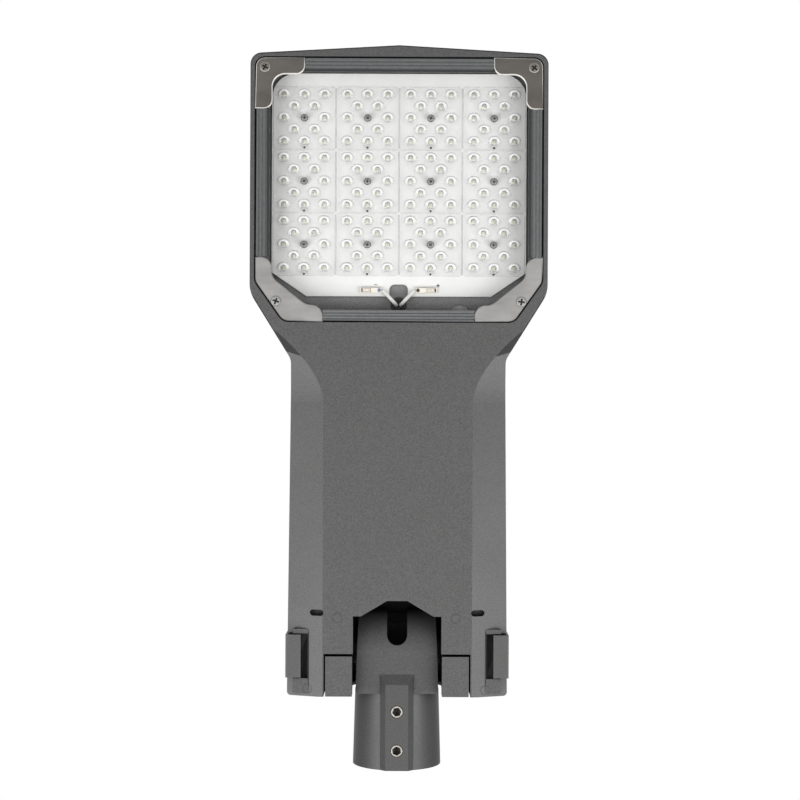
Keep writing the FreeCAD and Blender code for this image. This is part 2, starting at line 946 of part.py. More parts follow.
def spigot_adaptor():
    """Tapered tube with a raised screw rail, and the hollow drum that it tilts on."""
    tube = cone("tube", (0, 0, 0), S.mouth_radius, S.root_radius, S.tube_length, "Y")
    drum_half = S.knuckle_half_rear
    drum = rod("drum", (-drum_half, S.pivot_forward, 0), S.drum_radius, drum_half * 2, "X")
    lower = box("drum_root", (-drum_half, drum_half), (S.tube_length, S.pivot_forward),
                (-S.drum_radius, 0))
    upper = rod("drum_neck", (0, S.tube_length, 0), S.drum_radius,
                S.pivot_forward - S.tube_length, "Y")
    knuckle = fuse("knuckle_square", [drum, lower, upper])
    taper = start_body("knuckle_plan")
    front = S.pivot_forward + S.drum_radius + 1
    pad(taper, "knuckle_taper", "XY", [both_sides([
        (S.knuckle_half_rear, S.tube_length - S.fit),
        (S.knuckle_half_front, front),
    ])], (-S.drum_radius - 1, S.drum_radius + 1))
    knuckle = common("knuckle", knuckle, taper)
    cheek = rod("cheek_bosses", (-S.cheek_boss_half, S.pivot_forward, 0), S.cheek_boss,
                S.cheek_boss_half * 2, "X")
    rail = start_body("screw_rail")
    foot = -S.drum_radius + 3
    pad(rail, "rail_bar", "XZ", [both_sides([
        (S.rail_face_half, -S.rail_drop),
        (S.rail_foot_half, -S.rail_drop + (S.rail_foot_half - S.rail_face_half)),
        (S.rail_foot_half, foot),
    ])], (0, S.rail_slope_end))
    slope = [
        (S.rail_end, -S.rail_drop),
        (S.rail_slope_end, -S.drum_radius),
        (S.rail_slope_end + 1, -S.drum_radius),
        (S.rail_slope_end + 1, -S.rail_drop - 1),
        (S.rail_end, -S.rail_drop - 1),
    ]
    pocket(rail, "rail_slope", "YZ", [slope], (-S.rail_foot_half - 1, S.rail_foot_half + 1))
    outside = fuse("spigot_outside", [tube, knuckle, cheek, rail])
    return cut("spigot_adaptor", outside, spigot_hollows())


def spigot_hollows():
    """The pole's bore, the hollow drum, the cable slot and the screw holes."""
    wall = S.knuckle_wall
    inner_half = S.knuckle_half_front - wall
    inner_radius = S.drum_radius - wall
    middle = S.pivot_forward
    bore = rod("pole_bore", (0, 0, 0), S.bore_radius, S.tube_length, "Y")
    hollow = rod("drum_hollow", (-inner_half, middle, 0), inner_radius, inner_half * 2, "X")
    start = S.tube_length - 1
    lower = box("drum_passage", (-inner_half, inner_half), (start, middle), (-inner_radius, 0))
    upper = rod("drum_passage_crown", (0, start, 0), inner_half, middle - start, "Y")
    cores = fuse("drum_core", [hollow, lower, upper])
    bolt_bosses = [
        rod("bolt_boss_%s" % word, (start, middle, 0), S.pivot_thread, wall * 2, "X")
        for word, start in (("right", S.pivot_inner_end - S.fit),
                            ("left", -S.pivot_inner_end + S.fit - wall * 2))
    ]
    cores = cut("drum_core_round_bosses", cores, bolt_bosses)
    half = S.slot_width / 2
    slot_end = rod("slot_end", (0, S.slot_end + half, -S.drum_radius - 1), half,
                   wall * 3, "Z")
    slot = box("cable_slot", (-half, half),
               (S.slot_end + half, middle + S.drum_radius + 1),
               (-S.drum_radius - 1, S.slot_top))
    tools = [bore, cores, slot_end, slot]
    reach = S.cheek_boss_half + 1
    tools.append(rod("bolt_holes", (-reach, middle, 0), S.pivot_thread / 2 + S.fit,
                     reach * 2, "X"))
    for number, along in enumerate((S.grub_first, S.grub_second)):
        tools.append(rod("grub_hole_%d" % number, (0, along, -S.rail_drop - 1),
                         S.grub_thread / 2 + S.fit, S.rail_drop, "Z"))
    return tools


def hexagon_rod(name, centre, width, span, plane="XY"):
    """Make a six-sided bar of a given width across its flats."""
    body = start_body(name)
    radius = width / math.sqrt(3)
    corners = []
    for step in range(6):
        angle = math.radians(60 * step)
        corners.append((centre[0] + radius * math.cos(angle),
                        centre[1] + radius * math.sin(angle)))
    pad(body, name + "_bar", plane, [corners], span)
    return body


def spigot_set_screws():
    """Two socket set screws that clamp the pole, wound back flush with the bore."""
    screws = []
    low = -S.rail_drop - S.grub_proud
    tip = -S.bore_radius - S.fit
    for number, along in enumerate((S.grub_first, S.grub_second)):
        stem = rod("grub_stem_%d" % number, (0, along, low), S.grub_thread / 2, tip - low)
        socket = hexagon_rod("grub_socket_%d" % number, (0, along), S.grub_socket,
                             (low - 1, low + S.grub_socket * 0.8))
        screws.append(cut("grub_screw_%d" % number, stem, [socket]))
    return group("spigot_set_screws", screws)


# Ears that carry the drum inside the casting

def pivot_ear():
    """Right-hand ear: foot in its notch, flange on its seat, plate beside the drum."""
    inner, outer = S.ear_inner, S.ear_outer
    foot = box("ear_foot", (inner, outer), (S.ear_rear, S.ear_front),
               (underside, ear_seat_level))
    flange = box("ear_flange", (inner, S.ear_flange_half),
                 (S.ear_flange_rear, S.ear_flange_front), (ear_seat_level, flange_top))
    plate_outer = inner + S.ear_plate
    plate = box("ear_plate", (inner, plate_outer),
                (S.pivot_forward - S.ear_boss, S.pivot_forward + S.ear_boss),
                (ear_seat_level, 0))
    eye = rod("ear_eye", (inner, S.pivot_forward, 0), S.ear_boss, S.ear_plate, "X")
    web = start_body("ear_web")
    web_rear = S.pivot_forward + S.ear_boss - S.ear_flange
    pad(web, "ear_web_rib", "XZ", [[
        (plate_outer - 1, ear_seat_level),
        (S.ear_flange_half - S.ear_bolt_head, ear_seat_level),
        (S.ear_flange_half - S.ear_bolt_head, flange_top),
        (plate_outer - 1, -S.ear_flange),
    ]], (web_rear, web_rear + S.ear_flange))
    form = fuse("ear_form", [foot, flange, plate, eye, web])
    holes = [rod("ear_eye_hole", (inner - 1, S.pivot_forward, 0),
                 S.pivot_thread / 2 + S.fit, S.ear_plate + 2, "X")]
    for number, along in enumerate((S.ear_bolt_rear, S.ear_bolt_front)):
        holes.append(rod("ear_bolt_way_%d" % number,
                         (S.ear_bolt_side, along, ear_seat_level - 1),
                         S.ear_bolt / 2 + S.fit, S.ear_flange + 2))
    return cut("pivot_ear_right", form, holes)


def ear_bolts():
    """Four cap bolts that hold the ears' flanges down on the casting."""
    bolts = []
    socket_wide = S.ear_bolt * 0.8
    for side, word in ((1, "right"), (-1, "left")):
        for number, along in enumerate((S.ear_bolt_rear, S.ear_bolt_front)):
            tag = "%s_%d" % (word, number)
            x = side * S.ear_bolt_side
            stem = rod("ear_bolt_stem_" + tag, (x, along, ear_seat_level - S.ear_bolt_depth),
                       S.ear_bolt / 2, S.ear_bolt_depth + S.ear_flange + 1)
            head = rod("ear_bolt_head_" + tag, (x, along, flange_top),
                       S.ear_bolt_head / 2, S.ear_bolt)
            socket = hexagon_rod("ear_bolt_socket_" + tag, (x, along), socket_wide,
                                 (flange_top + S.ear_bolt / 2, flange_top + S.ear_bolt + 1))
            bolt = fuse("ear_bolt_blank_" + tag, [stem, head])
            bolts.append(cut("ear_bolt_" + tag, bolt, [socket]))
    return group("ear_bolts", bolts)


def pivot_washer():
    """Right-hand friction washer between the drum's cheek and the ear."""
    start = S.cheek_boss_half + S.face_gap
    thick = S.ear_inner - S.face_gap - start
    disc = rod("washer_disc", (start, S.pivot_forward, 0), S.washer_radius, thick, "X")
    hole = rod("washer_hole", (start - 1, S.pivot_forward, 0),
               S.pivot_thread / 2 + S.fit * 2, thick + 2, "X")
    return cut("pivot_washer_right", disc, [hole])


def pivot_bolt():
    """Right-hand pivot bolt: screwed into the drum, with its head outside the ear."""
    start = S.ear_inner + S.ear_plate + S.face_gap
    stem = rod("pivot_stem", (S.pivot_inner_end, S.pivot_forward, 0), S.pivot_thread / 2,
               start - S.pivot_inner_end + 1, "X")
    head = hexagon_rod("pivot_head", (S.pivot_forward, 0), S.pivot_head_width,
                       (start, start + S.pivot_head_thick), "YZ")
    return fuse("pivot_bolt_right", [stem, head])


def pair(form, left_name):
    """Return a right-hand sub-part with its left-hand twin."""
    return [form, mirrored(left_name, form)]


nodes.append(spigot_adaptor())
nodes.append(spigot_set_screws())
nodes += pair(pivot_ear(), "pivot_ear_left")
nodes.append(ear_bolts())
nodes += pair(pivot_washer(), "pivot_washer_left")
nodes += pair(pivot_bolt(), "pivot_bolt_left")


# Cover of the driver bay, its hinge and its latches

def cover_form(name, inset):
    """Solid form of the cover, or of the space inside it, inset on every side."""
    body = start_body(name)
    low = parting + S.cover_gap
    if inset.value:
        low = low - 1
    top = underside + S.cover_rise - inset
    corners = {
        "rear": (S.neck_half_rear - inset, S.rear_edge + inset),
        "neck": (S.neck_half_front - inset, S.neck_end),
        "shoulder": (S.head_half - inset, S.shoulder_end),
        "front": (S.head_half - inset, S.cover_front - inset),
    }
    pad(body, name + "_block", "XY", [both_sides(corners.values())], (low, top))
    round_edges(body, name + "_neck", S.neck_round, upright_at([corners["neck"]]))
    round_edges(body, name + "_rear", S.cover_edge_round - inset,
                upright_at([corners["rear"]]))
    start = S.cover_slope_start
    front = S.cover_front + 1
    front_top = underside + S.cover_front_rise - inset
    wedge = [
        (start, top),
        (front, front_top),
        (front, top + 1),
        (start, top + 1),
    ]
    reach = S.head_half + 1
    pocket(body, name + "_slope", "YZ", [wedge], (-reach, reach))
    lowest = front_top.value - 2
    crease = start.value
    front_edge = corners["front"][1].value

    def along_the_top(edge):
        limits = edge.BoundBox
        across = limits.YLength < NEAR
        return limits.ZMin > lowest and not (
            across and (abs(limits.Center.y - crease) < NEAR
                        or abs(limits.Center.y - front_edge) < NEAR)
        )

    round_edges(body, name + "_crown", S.cover_edge_round - inset, along_the_top)
    return body


def hinge_rods(name, spans, radius, margin):
    """Make rods about the cover's hinge axis, one for each span and each side."""
    rods = []
    for number, (first, last) in enumerate(spans):
        for side in (1, -1):
            start = (first - margin) if side == 1 else -(last + margin)
            rods.append(rod("%s_%d_%d" % (name, number, side + 1),
                            (start, S.hinge_forward, hinge_level), radius,
                            last - first + margin * 2, "X"))
    return rods


def hinge_blocks(name, spans, y, z, margin):
    """Make boxes beside the cover's hinge axis, one for each span and each side."""
    blocks = []
    for number, (first, last) in enumerate(spans):
        for side in (1, -1):
            low = (first - margin) if side == 1 else -(last + margin)
            blocks.append(box("%s_%d_%d" % (name, number, side + 1),
                              (low, low + last - first + margin * 2), y, z))
    return blocks


lug_span = (hinge_middle - S.lug_width / 2, hinge_middle + S.lug_width / 2)
barrel_spans = [
    (S.hinge_inner, lug_span[0] - S.cover_gap),
    (lug_span[1] + S.cover_gap, S.hinge_outer),
]


def top_cover():
    """Domed cover with the spigot's arch, the hinge barrels and the latch pivots."""
    wall = S.cover_wall
    outer = cover_form("cover_outside", as_size(0))
    inner = cover_form("cover_inside", wall)
    shell = cut("cover_shell", outer, [inner])
    low = parting + S.cover_gap
    added = [shell]
    added += hinge_rods("barrel", barrel_spans, S.hinge_barrel, 0)
    added += hinge_blocks("barrel_root", barrel_spans,
                          (S.cover_front - wall, S.hinge_forward),
                          (hinge_level - S.hinge_barrel, hinge_level + S.hinge_barrel), 0)
    for side, word in ((1, "right"), (-1, "left")):
        limits = (S.latch_boss_inner, S.neck_half_front)
        across = limits if side == 1 else (-limits[1], -limits[0])
        along = (recess_rear - S.latch_boss_end, recess_front + S.latch_boss_end)
        added.append(box("latch_boss_" + word, across, along,
                         (low, latch_level + S.latch_barrel * 2)))
        limits = (S.arch_half, S.cover_lip_half)
        across = limits if side == 1 else (-limits[1], -limits[0])
        added.append(box("cover_lip_" + word, across, (S.rear_edge, S.rear_edge + wall),
                         (ear_seat_level + S.cover_gap, low + 1)))
    whole = fuse("cover_whole", added)
    deep = S.cover_edge_round + wall
    tools = [
        rod("arch_top", (0, S.rear_edge - 1, S.arch_rise), S.arch_half, deep, "Y"),
        box("arch_way", (-S.arch_half, S.arch_half), (S.rear_edge - 1, S.rear_edge - 1 + deep),
            (-S.axis_drop, S.arch_rise)),
    ]
    margin = S.cover_gap
    tools += hinge_rods("lug_way", [lug_span], S.hinge_barrel + margin, margin)
    tools += hinge_blocks("lug_reach", [lug_span], (S.hinge_forward, S.bulkhead_rear + 1),
                          (hinge_level - S.hinge_barrel - margin,
                           hinge_level + S.hinge_barrel + margin), margin)
    tools += hinge_rods("barrel_bore", [(S.hinge_inner - 1, S.hinge_outer + 1)],
                        S.hinge_pin / 2 + S.fit, 0)
    for side, word in ((1, "right"), (-1, "left")):
        near = S.latch_pivot_side - S.latch_barrel - margin
        far = S.neck_half_rear + beyond
        across = (near, far) if side == 1 else (-far, -near)
        tools.append(box("latch_room_" + word, across, (recess_rear, recess_front),
                         (parting - 1, latch_level + S.latch_barrel + margin)))
        start = recess_rear - S.latch_boss_end + 1
        tools.append(rod("latch_pin_way_" + word, (side * S.latch_pivot_side, start, latch_level),
                         S.latch_pin / 2 + S.fit,
                         recess_front - recess_rear + S.latch_boss_end * 2 - 2, "Y"))
    return cut("top_cover", whole, tools)


def cover_hinge_pins():
    """Two steel pins that join the cover's barrels to the casting's lugs."""
    pins = hinge_rods("hinge_pin", [(S.hinge_inner, S.hinge_outer)], S.hinge_pin / 2, 0)
    return group("cover_hinge_pins", pins)


def latch():
    """Right-hand latch: eye on its pin, side plate and the hook under the ledge."""
    body = start_body("latch_right")
    along = (S.latch_rear, S.latch_rear + S.latch_length)
    low = -S.latch_drop
    plate_inner = S.latch_outer - S.latch_plate
    pad(body, "latch_profile", "XZ", [[
        (S.latch_inner, low),
        (S.latch_outer, low),
        (S.latch_outer, latch_level),
        (plate_inner, latch_level),
        (plate_inner, low + S.latch_hook_rise),
        (S.latch_inner, low + S.latch_hook_rise),
    ]], along)
    pad(body, "latch_eye", "XZ", [], along,
        circles=[(S.latch_pivot_side, latch_level, S.latch_barrel)])
    pocket(body, "latch_eye_hole", "XZ", [], along,
           circles=[(S.latch_pivot_side, latch_level, S.latch_pin / 2 + S.fit)])
    length = S.latch_length.value
    bottom = low.value

    def lower_long(edge):
        limits = edge.BoundBox
        return abs(limits.YLength - length) < NEAR and abs(limits.Center.z - bottom) < NEAR

    round_edges(body, "latch_soft_edges", S.plate_edge * 2, lower_long)
    return body


def latch_pin():
    """Right-hand latch pin, held in the cover at both ends."""
    start = recess_rear - S.latch_boss_end + 1.5
    length = recess_front - recess_rear + S.latch_boss_end * 2 - 3
    return rod("latch_pin_right", (S.latch_pivot_side, start, latch_level),
               S.latch_pin / 2, length, "Y")


nodes.append(top_cover())
nodes.append(cover_hinge_pins())
nodes += pair(latch(), "latch_left")
nodes += pair(latch_pin(), "latch_pin_left")


# Glass, its gasket and the frame that clamps them

def ring_or_pane(name, z, inset, rear_run, front_cut, hole=None):
    """Pad a window-shaped sheet, with a like hole if one is given."""
    body = start_body(name)
    outlines = [bay_outline(inset, rear_run, front_cut)]
    if hole:
        outlines.append(bay_outline(*hole))
    pad(body, name + "_sheet", "XY", outlines, z)
    return body


def glass_gasket():
    """Rubber ring between the glass and its ledge."""
    hole = (S.glass_inset + S.ledge, S.chamber_corner, S.chamber_front_cut)
    return ring_or_pane("glass_gasket", (glass_high, ledge_level), S.glass_inset,
                        S.glass_corner, S.glass_front_cut, hole)


def glass_pane():
    """Toughened flat glass in front of the lenses."""
    return ring_or_pane("glass_pane", (glass_low, glass_high), S.glass_inset,
                        S.glass_corner, S.glass_front_cut)


def grooved_profile(inner, outer):
    """Section of a frame rail with long grooves in its lower face."""
    corners = [(inner, frame_floor), (inner, underside)]
    ridges = 4
    step = (outer - inner) / ridges
    for groove in range(1, ridges):
        middle = inner + step * groove
        corners.append((middle - S.groove_width / 2, underside))
        corners.append((middle, underside + S.groove_depth))
        corners.append((middle + S.groove_width / 2, underside))
    corners += [(outer, underside), (outer, frame_floor)]
    return corners


def frame_rail(name, plane, across, span):
    """Straight rail with a tongue at each end that a corner plate covers."""
    body = start_body(name)
    pad(body, name + "_bar", plane, [grooved_profile(*across)], span)
    ends = (span[0] - S.rail_tongue, span[1] + S.rail_tongue)
    section = rectangle(across, (frame_floor - S.tongue_thick, frame_floor))
    pad(body, name + "_tongues", plane, [section], ends)
    return body


def frame_rails():
    """The four rails that clamp the glass between the corner plates."""
    outer = S.window_half - S.frame_gap
    inner = outer - S.rail_width
    side_span = (S.window_rear + S.plate_gap + S.rear_arm_long + S.fit,
                 S.window_front - S.plate_gap - S.front_arm_long - S.fit)
    front_half = S.window_half - S.plate_gap - S.front_arm_side - S.fit
    rear_half = S.window_half - S.plate_gap - S.rear_arm_side - S.fit
    front = S.window_front - S.frame_gap
    rear = S.window_rear + S.frame_gap
    return [
        frame_rail("frame_rail_right", "XZ", (inner, outer), side_span),
        frame_rail("frame_rail_left", "XZ", (-outer, -inner), side_span),
        frame_rail("frame_rail_front", "YZ", (front - S.rail_width, front),
                   (-front_half, front_half)),
        frame_rail("frame_rail_rear", "YZ", (rear, rear + S.rear_rail_width),
                   (-rear_half, rear_half)),
    ]


def corner_plate_front():
    """Right-hand front corner plate: an L of thick sheet with softened corners."""
    body = start_body("corner_plate_front_right")
    side = S.window_half - S.plate_gap
    front = S.window_front - S.plate_gap
    inner = (side - S.plate_arm, front - S.plate_arm)
    end_x = side - S.front_arm_side
    end_y = front - S.front_arm_long
    low = underside - S.plate_proud
    pad(body, "front_plate", "XY", [[
        (end_x, front),
        (end_x, inner[1]),
        inner,
        (inner[0], end_y),
        (side, end_y),
        (side, front),
    ]], (low, low + S.plate_thick))
    round_edges(body, "front_plate_corner", S.window_round - S.plate_gap,
                upright_at([(side, front)]))
    round_edges(body, "front_plate_ends", S.plate_arm / 2,
                upright_at([(end_x, inner[1]), (inner[0], end_y)]))
    round_edges(body, "front_plate_inside", S.window_corner_round, upright_at([inner]))
    bevel_edges(body, "front_plate_bevel", S.plate_edge, level_at(low))
    pocket(body, "front_plate_hole", "XY", [], (low, low + S.plate_thick),
           circles=[(S.front_screw_side, S.front_screw_forward,
                     S.frame_screw / 2 + S.fit)])
    return body


def corner_plate_rear():
    """Right-hand rear corner plate: it follows the slanted corner of the window."""
    body = start_body("corner_plate_rear_right")
    side = S.window_half - S.plate_gap
    rear = S.window_rear + S.plate_gap
    end_x = side - S.rear_arm_side
    end_y = rear + S.rear_arm_long
    arm = S.plate_arm
    run = S.window_corner
    low = underside - S.plate_proud
    bends = [
        (side - arm, rear + arm + S.plate_inner_long),
        (side - arm - S.plate_inner_side, rear + arm),
    ]
    pad(body, "rear_plate", "XY", [[
        (side - run, rear),
        (side, rear + run * S.corner_slope),
        (side, end_y),
        (side - arm, end_y),
        *bends,
        (end_x, rear + arm),
        (end_x, rear),
    ]], (low, low + S.plate_thick))
    outer = [(side - run, rear), (side, rear + run * S.corner_slope)]
    round_edges(body, "rear_plate_corners", S.window_corner_round - S.plate_gap,
                upright_at(outer))
    round_edges(body, "rear_plate_ends", S.plate_end_round,
                upright_at([(side - arm, end_y), (end_x, rear + arm)]))
    round_edges(body, "rear_plate_inside", S.window_corner_round, upright_at(bends))
    bevel_edges(body, "rear_plate_bevel", S.plate_edge, level_at(low))
    pocket(body, "rear_plate_hole", "XY", [], (low, low + S.plate_thick),
           circles=[(S.rear_screw_side, S.rear_screw_forward,
                     S.frame_screw / 2 + S.fit)])
    return body


def corner_screws():
    """Four pan-head screws that hold the corner plates to the casting."""
    screws = []
    head_level = underside - S.plate_proud
    for side, word in ((1, "right"), (-1, "left")):
        for end, across, along in (
            ("front", S.front_screw_side, S.front_screw_forward),
            ("rear", S.rear_screw_side, S.rear_screw_forward),
        ):
            tag = "%s_%s" % (end, word)
            stem = rod("corner_stem_" + tag, (side * across, along, head_level),
                       S.frame_screw / 2, S.frame_screw_length)
            head = cone("corner_head_" + tag,
                        (side * across, along, head_level - S.frame_screw_dome),
                        S.frame_screw_head / 2 - S.frame_screw_dome / 2,
                        S.frame_screw_head / 2, S.frame_screw_dome)
            screws.append(fuse("corner_screw_" + tag, [stem, head]))
    return group("corner_screws", screws)


nodes.append(glass_pane())
nodes.append(glass_gasket())
nodes += frame_rails()
nodes += pair(corner_plate_front(), "corner_plate_front_left")
nodes += pair(corner_plate_rear(), "corner_plate_rear_left")
nodes.append(corner_screws())


# LED board, chips, lens plates and leads

board_low = chamber_top - S.board_thick
lens_top = board_low - S.lens_skirt
lens_low = lens_top - S.lens_base
lens_spots = [
    (across, along)
    for along, row in ((2, (-2, 0, 2)), (1, (-1, 1)), (0, (-2, 2)),
                       (-1, (-1, 1)), (-2, (-2, 0, 2)))
    for across in row
]


def led_board():
    """Aluminium-cored board with cut rear corners and a notch for the leads."""
    body = start_body("led_board")
    half = S.board_half
    rear = S.board_rear
    notch = S.board_notch_half
    outline = both_sides([
        (notch, rear + S.board_notch_depth),
        (notch, rear),
        (half - S.board_cut_side, rear),
        (half, rear + S.board_cut_long),
        (half, S.board_front),
    ])
    pad(body, "board_sheet", "XY", [outline], (board_low, chamber_top))
    round_edges(body, "board_corners", S.board_round,
                upright_at([(half, S.board_front)]))
    round_edges(body, "board_notch_corners", S.board_notch_round,
                upright_at([(notch, rear + S.board_notch_depth)]))
    holes = [(across, along, lens_screw_hole) for across, along in module_centres()]
    pocket(body, "board_holes", "XY", [], (board_low, chamber_top), circles=holes)
    return body


def led_chips():
    """One chip behind each lens, soldered to the board."""
    chips = []
    half = S.chip_width / 2
    for number, (x, y) in enumerate(module_centres()):
        for spot, (across, along) in enumerate(lens_spots):
            middle_x = x + S.lens_step * across
            middle_y = y + S.lens_rise * along
            chips.append(box("chip_%d_%d" % (number, spot),
                             (middle_x - half, middle_x + half),
                             (middle_y - half, middle_y + half),
                             (board_low - S.chip_thick, board_low)))
    return group("led_chips", chips)


def eight_corners(x, y, z, wide, long):
    """The corners of a level eight-sided outline about a centre."""
    corners = []
    for step in range(8):
        angle = math.radians(45 * step + 22.5)
        corners.append(Vector(x + wide / 2 * math.cos(angle),
                              y + long / 2 * math.sin(angle), z))
    return corners


def flat_face(corners):
    """Flat face inside a closed run of corners."""
    return Part.Face(Part.makePolygon(corners + corners[:1]))


def facetted(outlines):
    """Closed solid of flat faces between eight-sided outlines at rising distance."""
    faces = [flat_face(outlines[0]), flat_face(outlines[-1])]
    for near, far in zip(outlines, outlines[1:]):
        for step in range(8):
            after = (step + 1) % 8
            faces.append(flat_face([near[step], near[after], far[after], far[step]]))
    solid = Part.Solid(Part.Shell(faces))
    if solid.Volume < 0:
        solid.reverse()
    return solid


def lens_plate(name, x, y):
    """Moulded plate with a skirt, twelve facetted domes and a screw hole."""
    width = S.module_width.value
    skirt = S.lens_skirt.value
    base = S.lens_base.value
    edge = base / 2
    half = width / 2
    form = Part.makeBox(width, width, base + skirt, Vector(-half, -half, -base - skirt))
    room = Part.makeBox(width - edge * 2, width - edge * 2, skirt,
                        Vector(-half + edge, -half + edge, -skirt))
    form = form.cut(room)
    low = -base - skirt
    wide = S.lens_wide.value
    long = S.lens_long.value
    rings = [
        (low + edge, 1.0),
        (low - S.lens_shoulder.value, S.lens_shoulder_share.value),
        (low - S.lens_height.value, S.lens_crown_share.value),
    ]
    domes = []
    for across, along in lens_spots:
        middle = (S.lens_step.value * across, S.lens_rise.value * along)
        outlines = [
            eight_corners(*middle, level, wide * share, long * share)
            for level, share in rings
        ]
        domes.append(facetted(outlines))
    form = form.fuse(domes).removeSplitter()
    span = S.lens_hole.value
    hole = facetted([eight_corners(0, 0, level, span, span) for level in (low - 1, 1)])
    form = form.cut(hole)
    plate = doc.addObject("Part::Feature", name)
    plate.Shape = form
    place(plate, x, y, board_low)
    return plate


def lens_screws():
    """One domed screw in the middle of each lens plate."""
    screws = []
    for number, (x, y) in enumerate(module_centres()):
        head = cone("lens_head_%d" % number, (x, y, lens_low - S.lens_screw_rise),
                    S.lens_screw_head / 2 - S.lens_screw_rise / 4, S.lens_screw_head / 2,
                    S.lens_screw_rise)
        stem = rod("lens_stem_%d" % number, (x, y, lens_low), S.lens_screw / 2,
                   head_top - S.chamber_roof / 2 - lens_low)
        screws.append(fuse("lens_screw_%d" % number, [head, stem]))
    return group("lens_screws", screws)


def board_connectors():
    """Two small solder connectors near the board's notch."""
    connectors = []
    half = S.connector_long / 2
    deep = S.connector_deep / 2
    for side in (1, -1):
        middle = side * S.connector_side
        connectors.append(box("connector_%d" % (side + 1), (middle - half, middle + half),
                              (S.connector_forward - deep, S.connector_forward + deep),
                              (board_low - S.connector_thick, board_low)))
    return group("board_connectors", connectors)


def lead_grommet():
    """Rubber grommet that seals the two leads where they enter the chamber."""
    at = (as_size(0), S.grommet_forward)
    low = chamber_top - S.grommet_lip
    forms = [
        rod("grommet_lower_lip", (*at, low), S.grommet_radius, S.grommet_lip),
        rod("grommet_neck_rod", (*at, low), S.grommet_neck,
            S.chamber_roof + S.grommet_lip * 2),
        rod("grommet_upper_lip", (*at, head_top), S.grommet_radius, S.grommet_lip),
    ]
    bores = [
        rod("lead_way_%d" % (side + 1), (side * S.lead_half_gap, S.grommet_forward, low - 1),
            S.lead_diameter / 2 + S.face_gap * 2, S.chamber_roof + S.grommet_lip * 2 + 2)
        for side in (1, -1)
    ]
    return cut("lead_grommet", fuse("grommet_form", forms), bores)


def lead_path(points):
    """Wire of straight runs joined by tangent arcs, with the radius of each arc."""
    edges = []
    radii = []
    start = points[0]
    for before, corner, after in zip(points, points[1:], points[2:]):
        back = before - corner
        ahead = after - corner
        shorter = min(back.Length, ahead.Length)
        turn = math.pi - back.getAngle(ahead)
        reach = 0.45 * shorter
        radii.append(reach / math.tan(turn / 2))
        first = corner + Vector(back).normalize() * reach
        last = corner + Vector(ahead).normalize() * reach
        bisector = (Vector(back).normalize() + Vector(ahead).normalize()).normalize()
        centre_distance = radii[-1] / math.cos(turn / 2)
        middle = corner + bisector * (centre_distance - radii[-1])
        edges.append(Part.LineSegment(start, first).toShape())
        edges.append(Part.Arc(first, middle, last).toShape())
        start = last
    edges.append(Part.LineSegment(start, points[-1]).toShape())
    return Part.Wire(edges), radii


def led_lead(name, side):
    """Insulated lead from the driver, through the grommet, to its connector."""
    grommet_x = S.lead_half_gap.value
    grommet_y = S.grommet_forward.value
    connector_x = (S.connector_side - S.connector_long / 2 - S.lead_end_gap).value
    connector_y = S.connector_forward.value
    driver_end = (S.driver_rear + S.driver_length + S.face_gap * 2).value
    bay = head_top.value
    board = board_low.value
    # The run is laid by hand: over the bay floor, down the grommet, then across the board.
    points = [
        Vector(side * 6.0, driver_end, bay + 7.0),
        Vector(side * 5.2, driver_end + 19.0, bay + 8.4),
        Vector(side * 3.6, driver_end + 36.0, bay + 11.0),
        Vector(side * grommet_x, grommet_y, bay + 13.0),
        Vector(side * grommet_x, grommet_y, board - 7.2),
        Vector(side * connector_x, connector_y - 0.4, board - 1.7),
    ]
    path, radii = lead_path(points)
    radius = S.lead_diameter.value / 2
    section = Part.Wire(Part.makeCircle(radius, points[0], points[1] - points[0]))
    form = path.makePipeShell([section], True, False)
    if min(radii) < radius * 2:
        raise RuntimeError("%s bends too tightly" % name)
    if abs(form.Volume / (math.pi * radius ** 2 * path.Length) - 1) > NEAR:
        raise RuntimeError("%s isn't a round wire all along" % name)
    lead = doc.addObject("Part::Feature", name)
    lead.Shape = form
    return lead


nodes.append(led_board())
nodes.append(led_chips())
for number, (x, y) in enumerate(module_centres(), start=1):
    nodes.append(lens_plate("lens_plate_%02d" % number, x, y))
nodes.append(lens_screws())
nodes.append(board_connectors())
nodes.append(lead_grommet())
nodes.append(led_lead("led_lead_plus", -1))
nodes.append(led_lead("led_lead_minus", 1))


# Gear tray and what it carries

tray_top = tray_level + S.tray_thick


def tray_screw_places():
    """Plan places of the four screws that hold the gear tray."""
    return [
        (side * S.tray_screw_side, along)
        for side in (1, -1) for along in (S.tray_screw_rear, S.tray_screw_front)
    ]


def driver_screw_places():
    """Plan places of the four screws in the driver's feet."""
    half = S.driver_half - S.small_screw_head
    rear = S.driver_rear - S.driver_foot / 2
    front = S.driver_rear + S.driver_length + S.driver_foot / 2
    return [(side * half, along) for side in (1, -1) for along in (rear, front)]


def gear_tray():
    """Folded sheet-steel tray, cut away round the drum of the spigot."""
    body = start_body("gear_tray")
    half = S.tray_half
    thick = S.tray_thick
    outline = both_sides([
        (S.tray_cut_half, S.tray_cut_front),
        (S.tray_cut_half, S.tray_rear),
        (half, S.tray_rear),
        (half, S.tray_front),
    ])
    pad(body, "tray_sheet", "XY", [outline], (tray_level, tray_top))
    fold = rectangle((half - thick, half), (S.tray_cut_front, S.tray_front))
    pad(body, "tray_folds", "XY", [fold, other_side(fold)],
        (tray_level, tray_top + S.tray_standoff))
    hole = S.small_screw / 2 + S.fit
    places = tray_screw_places() + driver_screw_places()
    pocket(body, "tray_holes", "XY", [], (tray_level, tray_top),
           circles=[(x, y, hole) for x, y in places])
    return body


